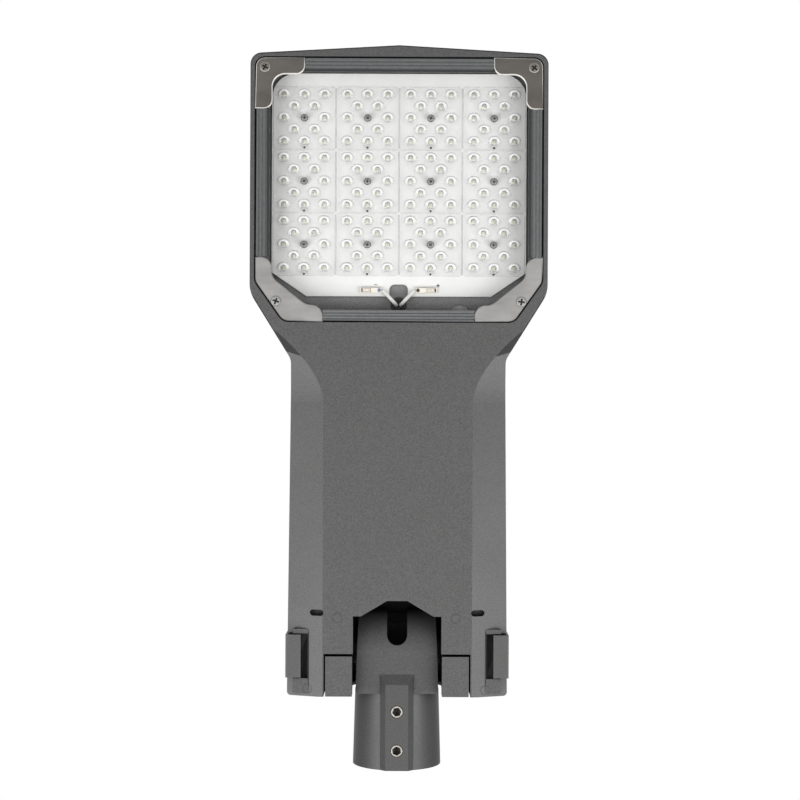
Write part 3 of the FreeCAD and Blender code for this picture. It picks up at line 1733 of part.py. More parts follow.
def small_screws(name, places, seat, depth):
    """A group of like pan-head screws whose heads sit at one level."""
    screws = []
    for number, (x, y) in enumerate(places):
        stem = rod("%s_stem_%d" % (name, number), (x, y, seat - depth),
                   S.small_screw / 2, depth + 1)
        head = cone("%s_head_%d" % (name, number), (x, y, seat), S.small_screw_head / 2,
                    S.small_screw_head / 2 - S.small_screw_rise / 3, S.small_screw_rise)
        screws.append(fuse("%s_%d" % (name, number), [stem, head]))
    return group(name, screws)


def led_driver():
    """Potted LED driver: an extruded case with a foot at each end."""
    body = start_body("led_driver")
    half = S.driver_half
    rear = S.driver_rear
    front = rear + S.driver_length
    top = tray_top + S.driver_height
    pad(body, "driver_case", "XY", [rectangle((-half, half), (rear, front))],
        (tray_top, top))
    length = S.driver_length.value
    top_level = top.value

    def upper_long(edge):
        limits = edge.BoundBox
        return abs(limits.YLength - length) < NEAR and abs(limits.Center.z - top_level) < NEAR

    round_edges(body, "driver_edges", S.driver_foot_thick, upper_long)
    foot_half = half - S.driver_foot_thick
    feet = [
        rectangle((-foot_half, foot_half), (rear - S.driver_foot, rear)),
        rectangle((-foot_half, foot_half), (front, front + S.driver_foot)),
    ]
    pad(body, "driver_feet", "XY", feet, (tray_top, tray_top + S.driver_foot_thick))
    hole = S.small_screw / 2 + S.fit
    pocket(body, "driver_foot_holes", "XY", [], (tray_top, tray_top + S.driver_foot_thick),
           circles=[(x, y, hole) for x, y in driver_screw_places()])
    return body


def terminal_ways():
    """Places across the terminal block of its three poles."""
    pitch = S.terminal_width / 3
    return [S.terminal_side + pitch * step for step in (-1, 0, 1)]


def terminal_block():
    """Three-pole terminal block with stepped sides and its clamping holes."""
    body = start_body("terminal_block")
    half = S.terminal_width / 2
    low = tray_top
    high = tray_top + S.terminal_height
    rear = S.terminal_rear
    front = rear + S.terminal_length
    step = S.terminal_length / 4
    shoulder = tray_top + S.terminal_shoulder
    span = (S.terminal_side - half, S.terminal_side + half)
    pad(body, "terminal_form", "YZ", [[
        (rear, low),
        (front, low),
        (front, shoulder),
        (front - step, shoulder),
        (front - step, high),
        (rear + step, high),
        (rear + step, shoulder),
        (rear, shoulder),
    ]], span)
    level = tray_top + S.terminal_way_rise
    radius = S.wire_diameter / 2 + S.face_gap
    ways = terminal_ways()
    pocket(body, "terminal_ways", "XZ", [], (rear, front),
           circles=[(x, level, radius) for x in ways])
    pocket(body, "terminal_screw_wells", "XY", [], (level, high),
           circles=[(x, rear + S.terminal_length / 2, S.small_screw / 2) for x in ways])
    return body


def driver_input_wires():
    """Three short wires from the driver's rear end into the terminal block."""
    level = tray_top + S.terminal_way_rise
    start = S.terminal_rear + S.terminal_length / 2 + S.small_screw / 2
    wires = [
        rod("input_wire_%d" % number, (x, start, level), S.wire_diameter / 2,
            S.driver_rear - start, "Y")
        for number, x in enumerate(terminal_ways())
    ]
    return group("driver_input_wires", wires)


nodes.append(gear_tray())
nodes.append(small_screws("tray_screws", tray_screw_places(), tray_top, S.tray_standoff))
nodes.append(led_driver())
nodes.append(small_screws("driver_screws", driver_screw_places(),
                          tray_top + S.driver_foot_thick, S.driver_foot_thick + S.tray_thick * 2))
nodes.append(terminal_block())
nodes.append(driver_input_wires())


# Check every object, then write one file for each sub-part

doc.recompute()
for item in doc.Objects:
    if {"Invalid", "Error"} & set(item.State):
        raise RuntimeError("%s is in state %s" % (item.Name, item.State))
for node in nodes:
    if node.Shape.isNull() or not node.Shape.isValid():
        raise RuntimeError("%s has no valid shape" % node.Label)
    node.Shape.exportStep("parts/%s.step" % node.Label)
    print("%s: %d solids, %.1f cm3" % (node.Label, len(node.Shape.Solids), node.Shape.Volume / 1000))
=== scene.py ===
# %% [markdown]
# LED street light head, seen from below.
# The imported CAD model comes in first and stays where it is. This script gives every node a finish,
# swaps the small repeated parts for finer meshes, and sets up the camera and the light.
# Lengths are in metres, X is across the head, Y runs from the pole end to the nose, Z is up.

import math
import random

import bmesh
import bpy
from mathutils import Matrix, Vector
from mathutils.bvhtree import BVHTree


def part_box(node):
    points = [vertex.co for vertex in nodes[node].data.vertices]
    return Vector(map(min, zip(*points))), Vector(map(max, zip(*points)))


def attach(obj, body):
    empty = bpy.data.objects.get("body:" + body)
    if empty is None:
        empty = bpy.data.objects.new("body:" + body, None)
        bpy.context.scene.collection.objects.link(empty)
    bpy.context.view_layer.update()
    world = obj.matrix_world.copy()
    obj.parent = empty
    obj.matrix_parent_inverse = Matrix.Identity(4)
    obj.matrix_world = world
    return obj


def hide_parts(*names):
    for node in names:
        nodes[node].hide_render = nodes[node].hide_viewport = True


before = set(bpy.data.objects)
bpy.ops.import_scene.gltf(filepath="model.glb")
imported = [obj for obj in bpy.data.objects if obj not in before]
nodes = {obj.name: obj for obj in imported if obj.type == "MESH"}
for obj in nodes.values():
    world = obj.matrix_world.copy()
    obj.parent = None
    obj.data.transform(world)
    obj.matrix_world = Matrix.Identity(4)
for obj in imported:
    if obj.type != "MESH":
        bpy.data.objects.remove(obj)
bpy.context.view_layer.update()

# %% [markdown]
# A finish in Blender is a small graph of nodes around one Principled shader. It could be wired
# with a call for each node, value and link. Dozens of finishes need the same few steps, so a
# small class takes them: it adds a node and fills its inputs with values or with other outputs.

# %% A graph of shader nodes


class Graph:
    """A tree of shader nodes and a short way to add to it."""

    def __init__(self, tree):
        self.tree = tree

    def drive(self, node, inputs):
        """Fill a node's inputs, each with a value or with an output that drives it."""
        for socket, value in inputs.items():
            if isinstance(value, bpy.types.NodeSocket):
                self.tree.links.new(value, node.inputs[socket])
            else:
                node.inputs[socket].default_value = value
        return node

    def add(self, kind, inputs=()):
        return self.drive(self.tree.nodes.new("ShaderNode" + kind), dict(inputs))

    def spread(self, factor, low, high, start=0.3, end=0.7):
        """A number that runs from low to high as the factor runs from start to end."""
        limits = {"From Min": start, "From Max": end, "To Min": low, "To Max": high}
        return self.add("MapRange", {"Value": factor, **limits}).outputs["Result"]


print("graph helper ready")

# %% [markdown]
# Numbers that are the same all over go straight on the shader's sockets, so that they survive an
# export. What varies, such as speckle, is driven by noise. Its place could come from a UV map;
# here it is the object's own coordinates, which need no unwrapping and move with the part.

# %% A blank finish


class Finish(Graph):
    """One material with its Principled shader."""

    def __init__(self, name, colour, roughness, metallic=0.0):
        self.material = bpy.data.materials.new(name)
        self.material.use_nodes = True
        super().__init__(self.material.node_tree)
        self.shader = self.tree.nodes["Principled BSDF"]
        self.set("Base Color", (*colour, 1.0))
        self.set("Roughness", roughness)
        self.set("Metallic", metallic)
        self.place = self.add("TexCoord")

    def set(self, socket, value):
        self.drive(self.shader, {socket: value})

    def noise(self, scale, detail=2.0, stretch=(1, 1, 1)):
        """Grain in the object's coordinates; scale is in grains a metre."""
        room = self.add("Mapping", {"Vector": self.place.outputs["Object"], "Scale": stretch})
        grain = self.add("TexNoise", {"Vector": room.outputs["Vector"], "Scale": scale, "Detail": detail})
        return grain.outputs["Fac"]

    def ramp(self, factor, stops):
        """Colours or greys along a factor: stops are (position, colour)."""
        node = self.add("ValToRGB", {"Fac": factor})
        marks = node.color_ramp.elements
        for mark, (position, colour) in ((marks[0], stops[0]), (marks[1], stops[-1])):
            mark.position, mark.color = position, (*colour, 1)
        for position, colour in stops[1:-1]:
            marks.new(position).color = (*colour, 1)
        return node.outputs["Color"]

    def bump(self, height, depth, strength=1.0):
        """Relief whose full height is depth metres."""
        node = self.add("Bump", {"Strength": strength, "Distance": depth, "Height": height})
        self.set("Normal", node.outputs["Normal"])

    def scaled(self, colour, factor):
        """The colour times a factor."""
        node = self.add("VectorMath")
        node.operation = "SCALE"
        return self.drive(node, {"Vector": colour, "Scale": factor}).outputs["Vector"]

    def crevice_painted_shade(self, colour, reach, closed=0.0, wide=1.0):
        """The colour with painted shade: dark where less than the closed share of the space within reach
        is free.
        """
        free_share = self.add("AmbientOcclusion", {"Distance": reach})
        free_share.samples = 6
        return self.scaled(colour, self.spread(free_share.outputs["AO"], 0.02, 1.0, closed, wide))

    def grazing_painted_shade(self, colour, share):
        """The colour with painted shade, falling to a share of itself where the surface is seen at a
        grazing angle.
        """
        away = self.add("LayerWeight", {"Blend": 0.5})
        return self.scaled(colour, self.spread(away.outputs["Facing"], 1.0, share, 0.12, 0.75))


print("finish helper ready")

# %% [markdown]
# The castings carry a textured powder paint: mid grey, nearly matt, with a fine grain. Two
# noises do it: a very fine one for the grain, and a slow one, because no sprayed surface is even
# over a hand's width. An Ambient Occlusion node darkens the colour where the surface is closed
# in, which is painted shade. A Layer Weight node darkens it at a grazing view, also painted
# shade, so that surfaces seen side-on fall off darker.

# %% Powder coat

GRAIN_CONTRAST = 0.3


def grey(level, warmth=0.0):
    """A linear grey; warmth above 0 leans it to brown and below 0 to blue."""
    return (level * (1 + warmth), level, level * (1 - warmth))


def powder_coat(name, level, reach=0.014, closed=0.0, wide=1.0, edge=0.5):
    """Paint of a grey level with painted shade; closed and wide bound the free share, edge is for a
    grazing view.
    """
    coat = Finish(name, grey(level), 0.44)
    grain = coat.noise(1300, 3)
    low, high = grey(level * (1 - GRAIN_CONTRAST)), grey(level * (1 + GRAIN_CONTRAST))
    speck = coat.ramp(grain, [(0.36, low), (0.5, grey(level)), (0.66, high)])
    shaded = coat.grazing_painted_shade(coat.crevice_painted_shade(speck, reach, closed, wide), edge)
    coat.set("Base Color", shaded)
    slow = coat.noise(14, 2)
    coat.set("Roughness", coat.spread(slow, 0.44, 0.52))
    coat.bump(grain, 0.00006, 0.6)
    return coat.material


casting_grey = powder_coat("casting_powder_coat", 0.064)
# The lamp chamber's coat is much lighter than the outside: painted light that lifts the shade of its deep
# recess.
chamber_coat_painted_light = powder_coat("chamber_powder_coat_painted_light", 0.22)
# The spigot's coat darkens strongly where it is closed in and at a grazing view: painted shade that fades
# the knuckle to black under the housing.
spigot_grey = powder_coat("spigot_powder_coat", 0.053, reach=0.02, closed=0.48, wide=0.74, edge=0.3)
# The inside of the cover is darkened across a wide reach: painted shade.
cover_inside_painted_shade = powder_coat("inner_powder_coat_painted_shade", 0.05, reach=0.08, closed=0.3, wide=0.9)
latch_grey = powder_coat("latch_powder_coat", 0.066)
print("powder coats", casting_grey.name, chamber_coat_painted_light.name, spigot_grey.name)

# %% [markdown]
# The corner clamps are stamped from stainless sheet. A photograph of brushed steel could be
# mapped on, but noise needs no file and no unwrapping. A slow one, squeezed along Y, gives the
# cloudy tone of handled sheet, and a fine one its gloss and a very low relief.

# %% Satin steel


def satin_steel(name, level, warmth, roughness=0.36, metallic=1.0):
    steel = Finish(name, grey(level, warmth), roughness, metallic)
    cloud = steel.noise(38, 4, (1, 2.5, 1))
    fine = steel.noise(2600, 2)
    low, high = grey(level * 0.84, warmth), grey(level * 1.16, warmth)
    steel.set("Base Color", steel.ramp(cloud, [(0.3, low), (0.7, high)]))
    steel.set("Roughness", steel.spread(fine, roughness * 0.85, roughness * 1.2))
    steel.bump(fine, 0.00003, 0.5)
    return steel.material


# The front and rear clamps are the same steel. The darker, browner front pair and the lighter rear pair
# are painted reflection of the room.
front_steel_painted_reflection = satin_steel("front_clamp_steel_painted_reflection", 0.165, 0.09)
rear_steel_painted_reflection = satin_steel("rear_clamp_steel_painted_reflection", 0.4, 0.02)
edge_painted_highlight = satin_steel("clamp_bright_edge", 0.75, 0.04, 0.3, 0.35)
edge_painted_shade = satin_steel("clamp_dull_edge", 0.3, 0.02, 0.4, 0.6)
print("steel", front_steel_painted_reflection.name, rear_steel_painted_reflection.name)

# %% [markdown]
# The window's rails are extruded aluminium with an anodised skin. A bare metal would mirror the
# white room like chrome. The oxide dulls it, so the shader is only a fifth metallic, a little
# blue, and half rough.

# %% Anodised rail


def oxide_blue(level):
    return (level * 0.97, level, level * 1.02)


def anodised_rail(name, level):
    rail = Finish(name, oxide_blue(level), 0.5, 0.2)
    tone = rail.ramp(rail.noise(420, 2), [(0.3, oxide_blue(level * 0.9)), (0.7, oxide_blue(level * 1.1))])
    rail.set("Base Color", tone)
    rail.bump(rail.noise(2200, 2), 0.00004, 0.4)
    return rail.material


rail_finish = anodised_rail("rail_anodising", 0.098)
# The groove finish is a paler copy, painted light, and the lip finish a dark copy, painted shade.
groove_painted_light = anodised_rail("rail_groove_painted_light", 0.135)
lip_painted_shade = anodised_rail("rail_lip_painted_shade", 0.022)
print("rail", rail_finish.name)

# %% [markdown]
# The board carries a white solder mask, a smooth and slightly glossy paint. One flat white would
# look like paper, so a slow noise varies its tone a little, and a fine one gives it the skin of
# sprayed paint.

# %% Board paint

mask = Finish("white_solder_mask", (0.8, 0.8, 0.795), 0.34)
cloud = mask.noise(60, 3)
mask.set("Base Color", mask.ramp(cloud, [(0.3, (0.76, 0.76, 0.755)), (0.7, (0.8, 0.8, 0.795))]))
mask.bump(mask.noise(900, 2), 0.00002, 0.4)
mask_finish = mask.material
print("board paint", mask_finish.name)

# %% [markdown]
# The lenses are clear acrylic, and what one sees is mostly the white board behind them. The
# seams between two plates are cut edges, which look darker, and the walls of the hollow round a
# chip are broken grey strokes.

# %% Lens plastic

ACRYLIC_IOR = 1.49

lens = Finish("moulded_lens_acrylic", grey(0.42), 0.1)
lens.set("IOR", ACRYLIC_IOR)
ripple = lens.noise(160, 2)
lens.set("Roughness", lens.spread(ripple, 0.06, 0.14))
lens.set("Alpha", lens.spread(ripple, 0.05, 0.08))
lens_finish = lens.material

wall = Finish("lens_inner_wall", (0.2, 0.2, 0.18), 0.5)
broken = wall.noise(650, 3)
wall.set("Base Color", wall.ramp(broken, [(0.35, (0.12, 0.11, 0.09)), (0.65, (0.4, 0.38, 0.33))]))
wall.set("Alpha", wall.spread(broken, 0.75, 0.05, 0.42, 0.58))
inner_wall = wall.material


def lens_seam(name, level, thin, thick):
    """A seam of a grey level; thin and thick bound how solid it is."""
    seam = Finish(name, (level, level, level * 1.07), 0.8)
    seam.set("Specular IOR Level", 0.0)
    seam.set("Alpha", seam.spread(seam.noise(90, 2), thin, thick))
    return seam.material


seam_finish = lens_seam("lens_seam_edge", 0.1, 0.75, 0.95)
faint_seam = lens_seam("lens_faint_seam", 0.2, 0.3, 0.5)
print("lens plastic", lens_finish.name, seam_finish.name)

# %% [markdown]
# The steep rim of a dome bends light from below towards the eye, so it looks white all round. A
# straight-through plastic can't do that. The rim therefore shades with a normal that faces the
# window, and the side of it that leans to the nose is the most solid, because it is the palest.
# Clear plastic casts hardly any shadow, so a Light Path node lets most shadow rays through;
# without it the chips inside would go dark. This stands in for real optics.

# %% Lens rims

rim = Finish("lens_rim_acrylic", (1.0, 1.0, 1.0), 0.12)
rim.set("IOR", ACRYLIC_IOR)
lean = rim.add("SeparateXYZ", {"Vector": rim.place.outputs["Normal"]})
rays = rim.add("LightPath")
solid = rim.add("Math", {0: rim.spread(lean.outputs["Y"], 0.12, 0.95, -0.5, 0.25),
                         1: rim.spread(rays.outputs["Is Shadow Ray"], 1.0, 0.1)})
solid.operation = "MULTIPLY"
rim.set("Alpha", solid.outputs["Value"])
rim.set("Roughness", rim.spread(rim.noise(160, 2), 0.06, 0.16))
down = rim.add("CombineXYZ", {"Z": -1.0})
turn = rim.add("VectorTransform", {"Vector": down.outputs["Vector"]})
turn.vector_type, turn.convert_from, turn.convert_to = "NORMAL", "OBJECT", "WORLD"
rim.set("Normal", turn.outputs["Vector"])
rim_finish = rim.material
print("lens rims", rim_finish.name)

# %% [markdown]
# A chip carries a patch of phosphor between two tinned pads. The phosphor could be made to glow,
# but the lamp is off, so it is a matt and cloudy pale yellow. Solder is half metallic and uneven
# in gloss, which a fine noise on the roughness gives.

# %% Chip finishes

chip = Finish("chip_phosphor", (0.93, 0.91, 0.72), 0.5)
cloud = chip.noise(1400, 2)
chip.set("Base Color", chip.ramp(cloud, [(0.3, (0.92, 0.89, 0.64)), (0.7, (0.95, 0.95, 0.82))]))
phosphor_finish = chip.material

pad = Finish("tinned_pad", grey(0.62), 0.4, 0.5)
pad.set("Roughness", pad.spread(pad.noise(2000, 2), 0.3, 0.55))
pad_finish = pad.material
print("chips", phosphor_finish.name, pad_finish.name)

# %% [markdown]
# The window is one pane of clear glass. Glass mirrors more at a grazing view, which a Layer
# Weight gives by raising how solid it is.

# %% Window glass

glass = Finish("window_glass", (0.15, 0.165, 0.165), 0.03)
glass.set("IOR", 1.5)
edge = glass.add("LayerWeight", {"Blend": 0.5})
glass.set("Alpha", glass.spread(edge.outputs["Facing"], 0.045, 0.4, 0.45, 1.0))
glass.set("Roughness", glass.spread(glass.noise(30, 2), 0.02, 0.05))
glass_finish = glass.material
print("glass", glass_finish.name)

# %% [markdown]
# The rest are everyday finishes: zinc on screws and the tray, moulded plastics, rubber and
# wire insulation. One helper makes them from a table, because they differ only in numbers:
# colour, roughness, how metallic they are, grains a metre, and the spread of the tone.

# %% Everyday finishes


def plain_finish(name, colour, roughness, metallic, grain, spread=0.12):
    made = Finish(name, colour, roughness, metallic)
    noise = made.noise(grain, 3)
    low = tuple(c * (1 - spread) for c in colour)
    high = tuple(min(1.0, c * (1 + spread)) for c in colour)
    made.set("Base Color", made.ramp(noise, [(0.32, low), (0.68, high)]))
    made.set("Roughness", made.spread(noise, roughness * 0.85, roughness * 1.15))
    made.bump(noise, 0.00003, 0.5)
    return made.material


# The tray's zinc is darkened where it is closed in: painted shade that leaves a paler glint in the middle
# of each drain slot.
sheet = Finish("galvanised_sheet", grey(0.25), 0.45, 0.6)
spangle = sheet.noise(110, 3)
tone = sheet.ramp(spangle, [(0.38, grey(0.12)), (0.62, grey(0.4))])
sheet.set("Base Color", sheet.crevice_painted_shade(tone, 0.016, 0.2, 0.8))
sheet.set("Roughness", sheet.spread(spangle, 0.38, 0.52))
galvanised = sheet.material

EVERYDAY = [
    ("zinc_screw", (0.34, 0.325, 0.31), 0.5, 0.8, 1800),
    ("screw_recess", (0.012, 0.01, 0.009), 0.6, 0.0, 1500),
    ("lens_screw_zinc", (0.24, 0.24, 0.23), 0.45, 0.2, 1500),
    ("front_clamp_screw", (0.17, 0.155, 0.14), 0.5, 0.5, 1800),
    ("front_screw_rim", (0.36, 0.34, 0.31), 0.45, 0.4, 1800),
    ("rear_clamp_screw", (0.31, 0.31, 0.3), 0.5, 0.4, 1800),
    ("rear_screw_rim", grey(0.2), 0.5, 0.3, 1800),
    ("screw_head_rim", grey(0.06), 0.5, 0.2, 1500),
    ("driver_case_paint", (0.72, 0.72, 0.7), 0.42, 0.0, 300, 0.04),
    ("terminal_plastic", (0.55, 0.56, 0.55), 0.4, 0.0, 500, 0.05),
    ("wire_insulation", (0.8, 0.79, 0.76), 0.42, 0.0, 700, 0.04),
    ("connector_cream", (0.82, 0.78, 0.69), 0.4, 0.0, 900, 0.05),
    ("black_rubber", grey(0.018), 0.62, 0.0, 1200, 0.2),
    ("stainless_pin", grey(0.5), 0.3, 1.0, 1200),
    ("dark_gap_coat", grey(0.012), 0.7, 0.0, 900, 0.3),
    ("unlit_interior", grey(0.004), 0.7, 0.0, 700, 0.3),
    ("screw_ring", (0.55, 0.52, 0.47), 0.32, 0.9, 1500, 0.25),
    ("mark_ink", (0.03, 0.03, 0.035), 0.5, 0.0, 2000, 0.3),
    ("tinned_contact", (0.22, 0.27, 0.4), 0.35, 0.5, 1500, 0.4),
    ("sealant", (0.3, 0.3, 0.29), 0.4, 0.0, 300, 0.15),
    ("ejector_mark", grey(0.035), 0.6, 0.0, 1200, 0.3),
    ("connector_window", (0.76, 0.69, 0.61), 0.4, 0.0, 900, 0.08),
    ("wire_entry", (0.05, 0.035, 0.03), 0.5, 0.0, 900, 0.3),
]
plain = {row[0]: plain_finish(*row) for row in EVERYDAY}
print("everyday finishes", len(plain))

# %% [markdown]
# Every CAD node that stays takes its finish here, by the first words of its name. Its mesh is
# left alone. The nodes that get none are those that a finer piece replaces further down.

# %% Dress the CAD nodes

DRESS = [
    (latch_grey, ("latch_right", "latch_left")),
    (plain["black_rubber"], ("glass_gasket",)),
    (plain["wire_insulation"], ("led_lead", "driver_input_wires")),
    (plain["zinc_screw"], ("tray_screws", "driver_screws", "ear_bolts", "pivot_bolt")),
    # The pivot washers sit in the gap beside the knuckle and take its nearly black painted shade.
    (plain["dark_gap_coat"], ("pivot_washer",)),
    (plain["stainless_pin"], ("cover_hinge_pins", "latch_pin")),
    (galvanised, ("gear_tray",)),
    (plain["driver_case_paint"], ("led_driver",)),
    (plain["terminal_plastic"], ("terminal_block",)),
]


def dress(thing, material):
    thing.data.materials.clear()
    thing.data.materials.append(material)


dressed = []
for material, words in DRESS:
    for name in nodes.keys():
        if name.startswith(words):
            dress(nodes[name], material)
            dressed.append(name)
print("dressed", len(dressed), "to be replaced", len(nodes) - len(dressed))

# %% [markdown]
# New pieces are built in the same frame as the CAD, with their vertices where the real part is.
# One helper turns a bmesh into an object that rides on a body, so no piece can be left behind
# when a joint moves.

# %% Piece helpers


def give(mesh, materials):
    for material in materials:
        mesh.materials.append(material)


def written(name, form):
    """A mesh from a bmesh, which is used up."""
    mesh = bpy.data.meshes.new(name)
    form.to_mesh(mesh)
    form.free()
    return mesh


def reopened(mesh):
    """A bmesh from a mesh, which is used up."""
    form = bmesh.new()
    form.from_mesh(mesh)
    bpy.data.meshes.remove(mesh)
    return form


def add_object(name, data):
    thing = bpy.data.objects.new(name, data)
    bpy.context.scene.collection.objects.link(thing)
    return thing


def solid_object(name, form):
    """An object from a finished bmesh, with its faces turned outwards."""
    bmesh.ops.recalc_face_normals(form, faces=form.faces[:])
    return add_object(name, written(name, form))


def settle(thing, stands_for, body):
    """Let a piece ride on a body, and hide the CAD nodes that it stands for."""
    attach(thing, body)
    if stands_for:
        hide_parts(*stands_for)
    return thing


def piece(name, form, materials, stands_for=(), body="head"):
    """A piece from a finished bmesh."""
    thing = solid_object(name, form)
    give(thing.data, materials)
    return settle(thing, stands_for, body)


print("piece helpers ready")

# %% [markdown]
# Most small parts are turned, or have one section from end to end. Blender's cylinders would need
# a modifier for every change of radius. A skin between rings of points follows any profile, round
# or oval, with few faces, and a flat lid closes both ends.

# %% Rings and skins


def ring(form, centre, across, along, z, count):
    """A closed ring of vertices at height z."""
    turn = math.tau / count
    return [form.verts.new((centre[0] + across * math.cos(turn * i),
                            centre[1] + along * math.sin(turn * i), z)) for i in range(count)]


def skin(form, rings, material=0, smooth=True):
    """Faces between neighbouring rings of equal count."""
    for low, high in zip(rings, rings[1:]):
        for i in range(len(low)):
            j = (i + 1) % len(low)
            face = form.faces.new((low[i], low[j], high[j], high[i]))
            face.smooth = smooth
            face.material_index = material


def closed(form, rings, material=0, smooth=True):
    """A body of rings with a flat lid at both ends."""
    skin(form, rings, material, smooth)
    for end in (rings[0], rings[-1]):
        form.faces.new(end).material_index = material


def round_rings(form, centre, profile, count):
    """Rings whose (radius, z) are given by a profile."""
    return [ring(form, centre, radius, radius, z, count) for radius, z in profile]


print("ring helpers ready")

# %% [markdown]
# A lens plate is one injection moulding: a thin square slab with twelve oval domes. The domes
# could be scaled spheres, but a street lens is wide and low with a rounded shoulder, so each one
# is turned from a profile. A Boolean joins them to the slab, so that light sees one body of
# clear plastic.

# %% Shapes of a lens plate

MODULE_SIDE = 0.0498
MODULE_CORNER = 0.0014
MODULE_CHAMFER = 0.00025
SLAB_BACK, SLAB_FRONT = -0.0266, -0.0282
LENS_STEP_X, LENS_STEP_Y = 0.0161, 0.0093
LENS_ROWS = [(2, (-1, 0, 1)), (1, (-0.5, 0.5)), (0, (-1, 1)), (-1, (-0.5, 0.5)), (-2, (-1, 0, 1))]
LENS_SPOTS = [(LENS_STEP_X * x, LENS_STEP_Y * y) for y, row in LENS_ROWS for x in row]
LENS_HALF = (0.00545, 0.0046)
DOME_TIP = -0.0331
SCREW_HOLE = 0.0018


def rounded_square(half, corner, steps=4):
    """Points round a square with rounded corners."""
    points = []
    for k, (sx, sy) in enumerate(((1, 1), (-1, 1), (-1, -1), (1, -1))):
        for i in range(steps + 1):
            angle = math.pi / 2 * (k + i / steps)
            points.append((sx * (half - corner) + corner * math.cos(angle),
                           sy * (half - corner) + corner * math.sin(angle)))
    return points


def turned(profile, spots, half, count):
    """Closed bodies turned from (share of half width, z), flat at both ends."""
    form = bmesh.new()
    a, b = half
    for spot in spots:
        closed(form, [ring(form, spot, a * share, b * share, z, count) for share, z in profile])
    return form


def dome_profile(steps=9):
    """From the slab to the tip: a steep wall, a round shoulder and a low crown."""
    height = SLAB_FRONT - DOME_TIP
    points = [(1.0, SLAB_FRONT + 0.0004)]
    for i in range(steps + 1):
        turn = math.pi / 2 * i / steps
        share = max(math.cos(turn) ** 0.72, 0.03)
        points.append((share, SLAB_FRONT - height * math.sin(turn)))
    return points


def slab_with_chamfer(half, corner, back, front, chamfer):
    """The slab, with its front edge cut off all round."""
    form = bmesh.new()
    shape = ((half, back), (half, front + chamfer), (half - chamfer, front))
    loops = [[form.verts.new((x, y, z)) for x, y in rounded_square(reach, corner)] for reach, z in shape]
    closed(form, loops, smooth=False)
    return form


print("lenses on a plate", len(LENS_SPOTS))

# %% [markdown]
# Slab, domes and screw hole are three bodies. They could just overlap, but then light would meet
# hidden surfaces inside the plastic. An exact Boolean joins them into one skin, and a second
# helper uses it further down to cut recesses.

# %% Lens plate mesh


def combine(base, tools):
    """The base with each (operation, tool) applied, as a new mesh; the inputs are removed."""
    for operation, tool in tools:
        step = base.modifiers.new(operation, "BOOLEAN")
        step.operation = operation
        step.object = tool
        step.solver = "EXACT"
    bpy.context.view_layer.update()
    shape = base.evaluated_get(bpy.context.evaluated_depsgraph_get())
    mesh = bpy.data.meshes.new_from_object(shape)
    for thing in [base] + [tool for _, tool in tools]:
        bpy.data.objects.remove(thing)
    return mesh


def cut(name, form, cutter):
    """A mesh of one bmesh with another one cut out of it."""
    return combine(solid_object(name, form), [("DIFFERENCE", solid_object(name + "_cutter", cutter))])


slab_form = slab_with_chamfer(MODULE_SIDE / 2, MODULE_CORNER, SLAB_BACK, SLAB_FRONT, MODULE_CHAMFER)
slab = solid_object("lens_slab", slab_form)
domes = solid_object("lens_domes", turned(dome_profile(), LENS_SPOTS, LENS_HALF, 32))
hole_ends = [(1, SLAB_BACK + 0.001), (1, SLAB_FRONT - 0.001)]
hole = solid_object("lens_hole", turned(hole_ends, [(0, 0)], (SCREW_HOLE, SCREW_HOLE), 20))
plate_mesh = combine(slab, [("UNION", domes), ("DIFFERENCE", hole)])
print("slab, domes and hole joined", len(plate_mesh.polygons), "faces")

# %% [markdown]
# Inside each dome the moulding has a hollow around the chip. From below its two side walls show
# as grey strokes that lean together and meet in an arch. They are an open band of faces set in
# the clear body, with one edge on the path below and the other drawn in and nearer to the tip.

# %% Arches in the domes

ARCH_HALF = [(-2.7, -3.1), (-2.5, -1.6), (-2.1, 0.0), (-1.6, 1.6), (-0.9, 2.8)]
ARCH_PATH = ARCH_HALF + [(0.0, 3.3)] + [(-x, y) for x, y in reversed(ARCH_HALF)]
ARCH_STROKE = 0.55
ARCH_LOW, ARCH_HIGH = SLAB_BACK - 0.0004, SLAB_BACK - 0.0015
CLEAR, RIM, ARCH, SIDE_SEAM, END_SEAM = range(5)


def arch_band(form, spot):
    """The band round a spot; path and stroke are in millimetres, open towards the pole end."""
    outer, inner = [], []
    for x, y in ARCH_PATH:
        outer.append(form.verts.new((spot[0] + x / 1000, spot[1] + y / 1000, ARCH_LOW)))
        share = 1 - ARCH_STROKE / math.hypot(x, max(y, 0.0))
        drawn_y = y * share if y > 0 else y
        inner.append(form.verts.new((spot[0] + x * share / 1000, spot[1] + drawn_y / 1000, ARCH_HIGH)))
    for i in range(len(ARCH_PATH) - 1):
        face = form.faces.new((outer[i], outer[i + 1], inner[i + 1], inner[i]))
        face.material_index = ARCH
        face.smooth = True


print("arch of", len(ARCH_PATH), "points")

# %% [markdown]
# The joined mesh now gets its finishes face by face. The bevels at its sides and ends are the
# seams that one sees between two plates, the steep band of every dome is the white rim, and the
# rest is clear. The slab's hidden back is left out, so that light passes one surface only.

# %% Finishes of a lens plate

RIM_START, RIM_END = SLAB_FRONT - 0.0018, SLAB_FRONT - 0.0046


def plate_face(face):
    """The number of the finish of one face of the plate."""
    spot = face.calc_center_median()
    reach = MODULE_SIDE / 2 - MODULE_CHAMFER
    bevelled = abs(face.normal.z) > 0.2
    if bevelled and abs(spot.x) > reach:
        return SIDE_SEAM
    if bevelled and abs(spot.y) > reach:
        return END_SEAM
    return RIM if RIM_END < spot.z < RIM_START else CLEAR


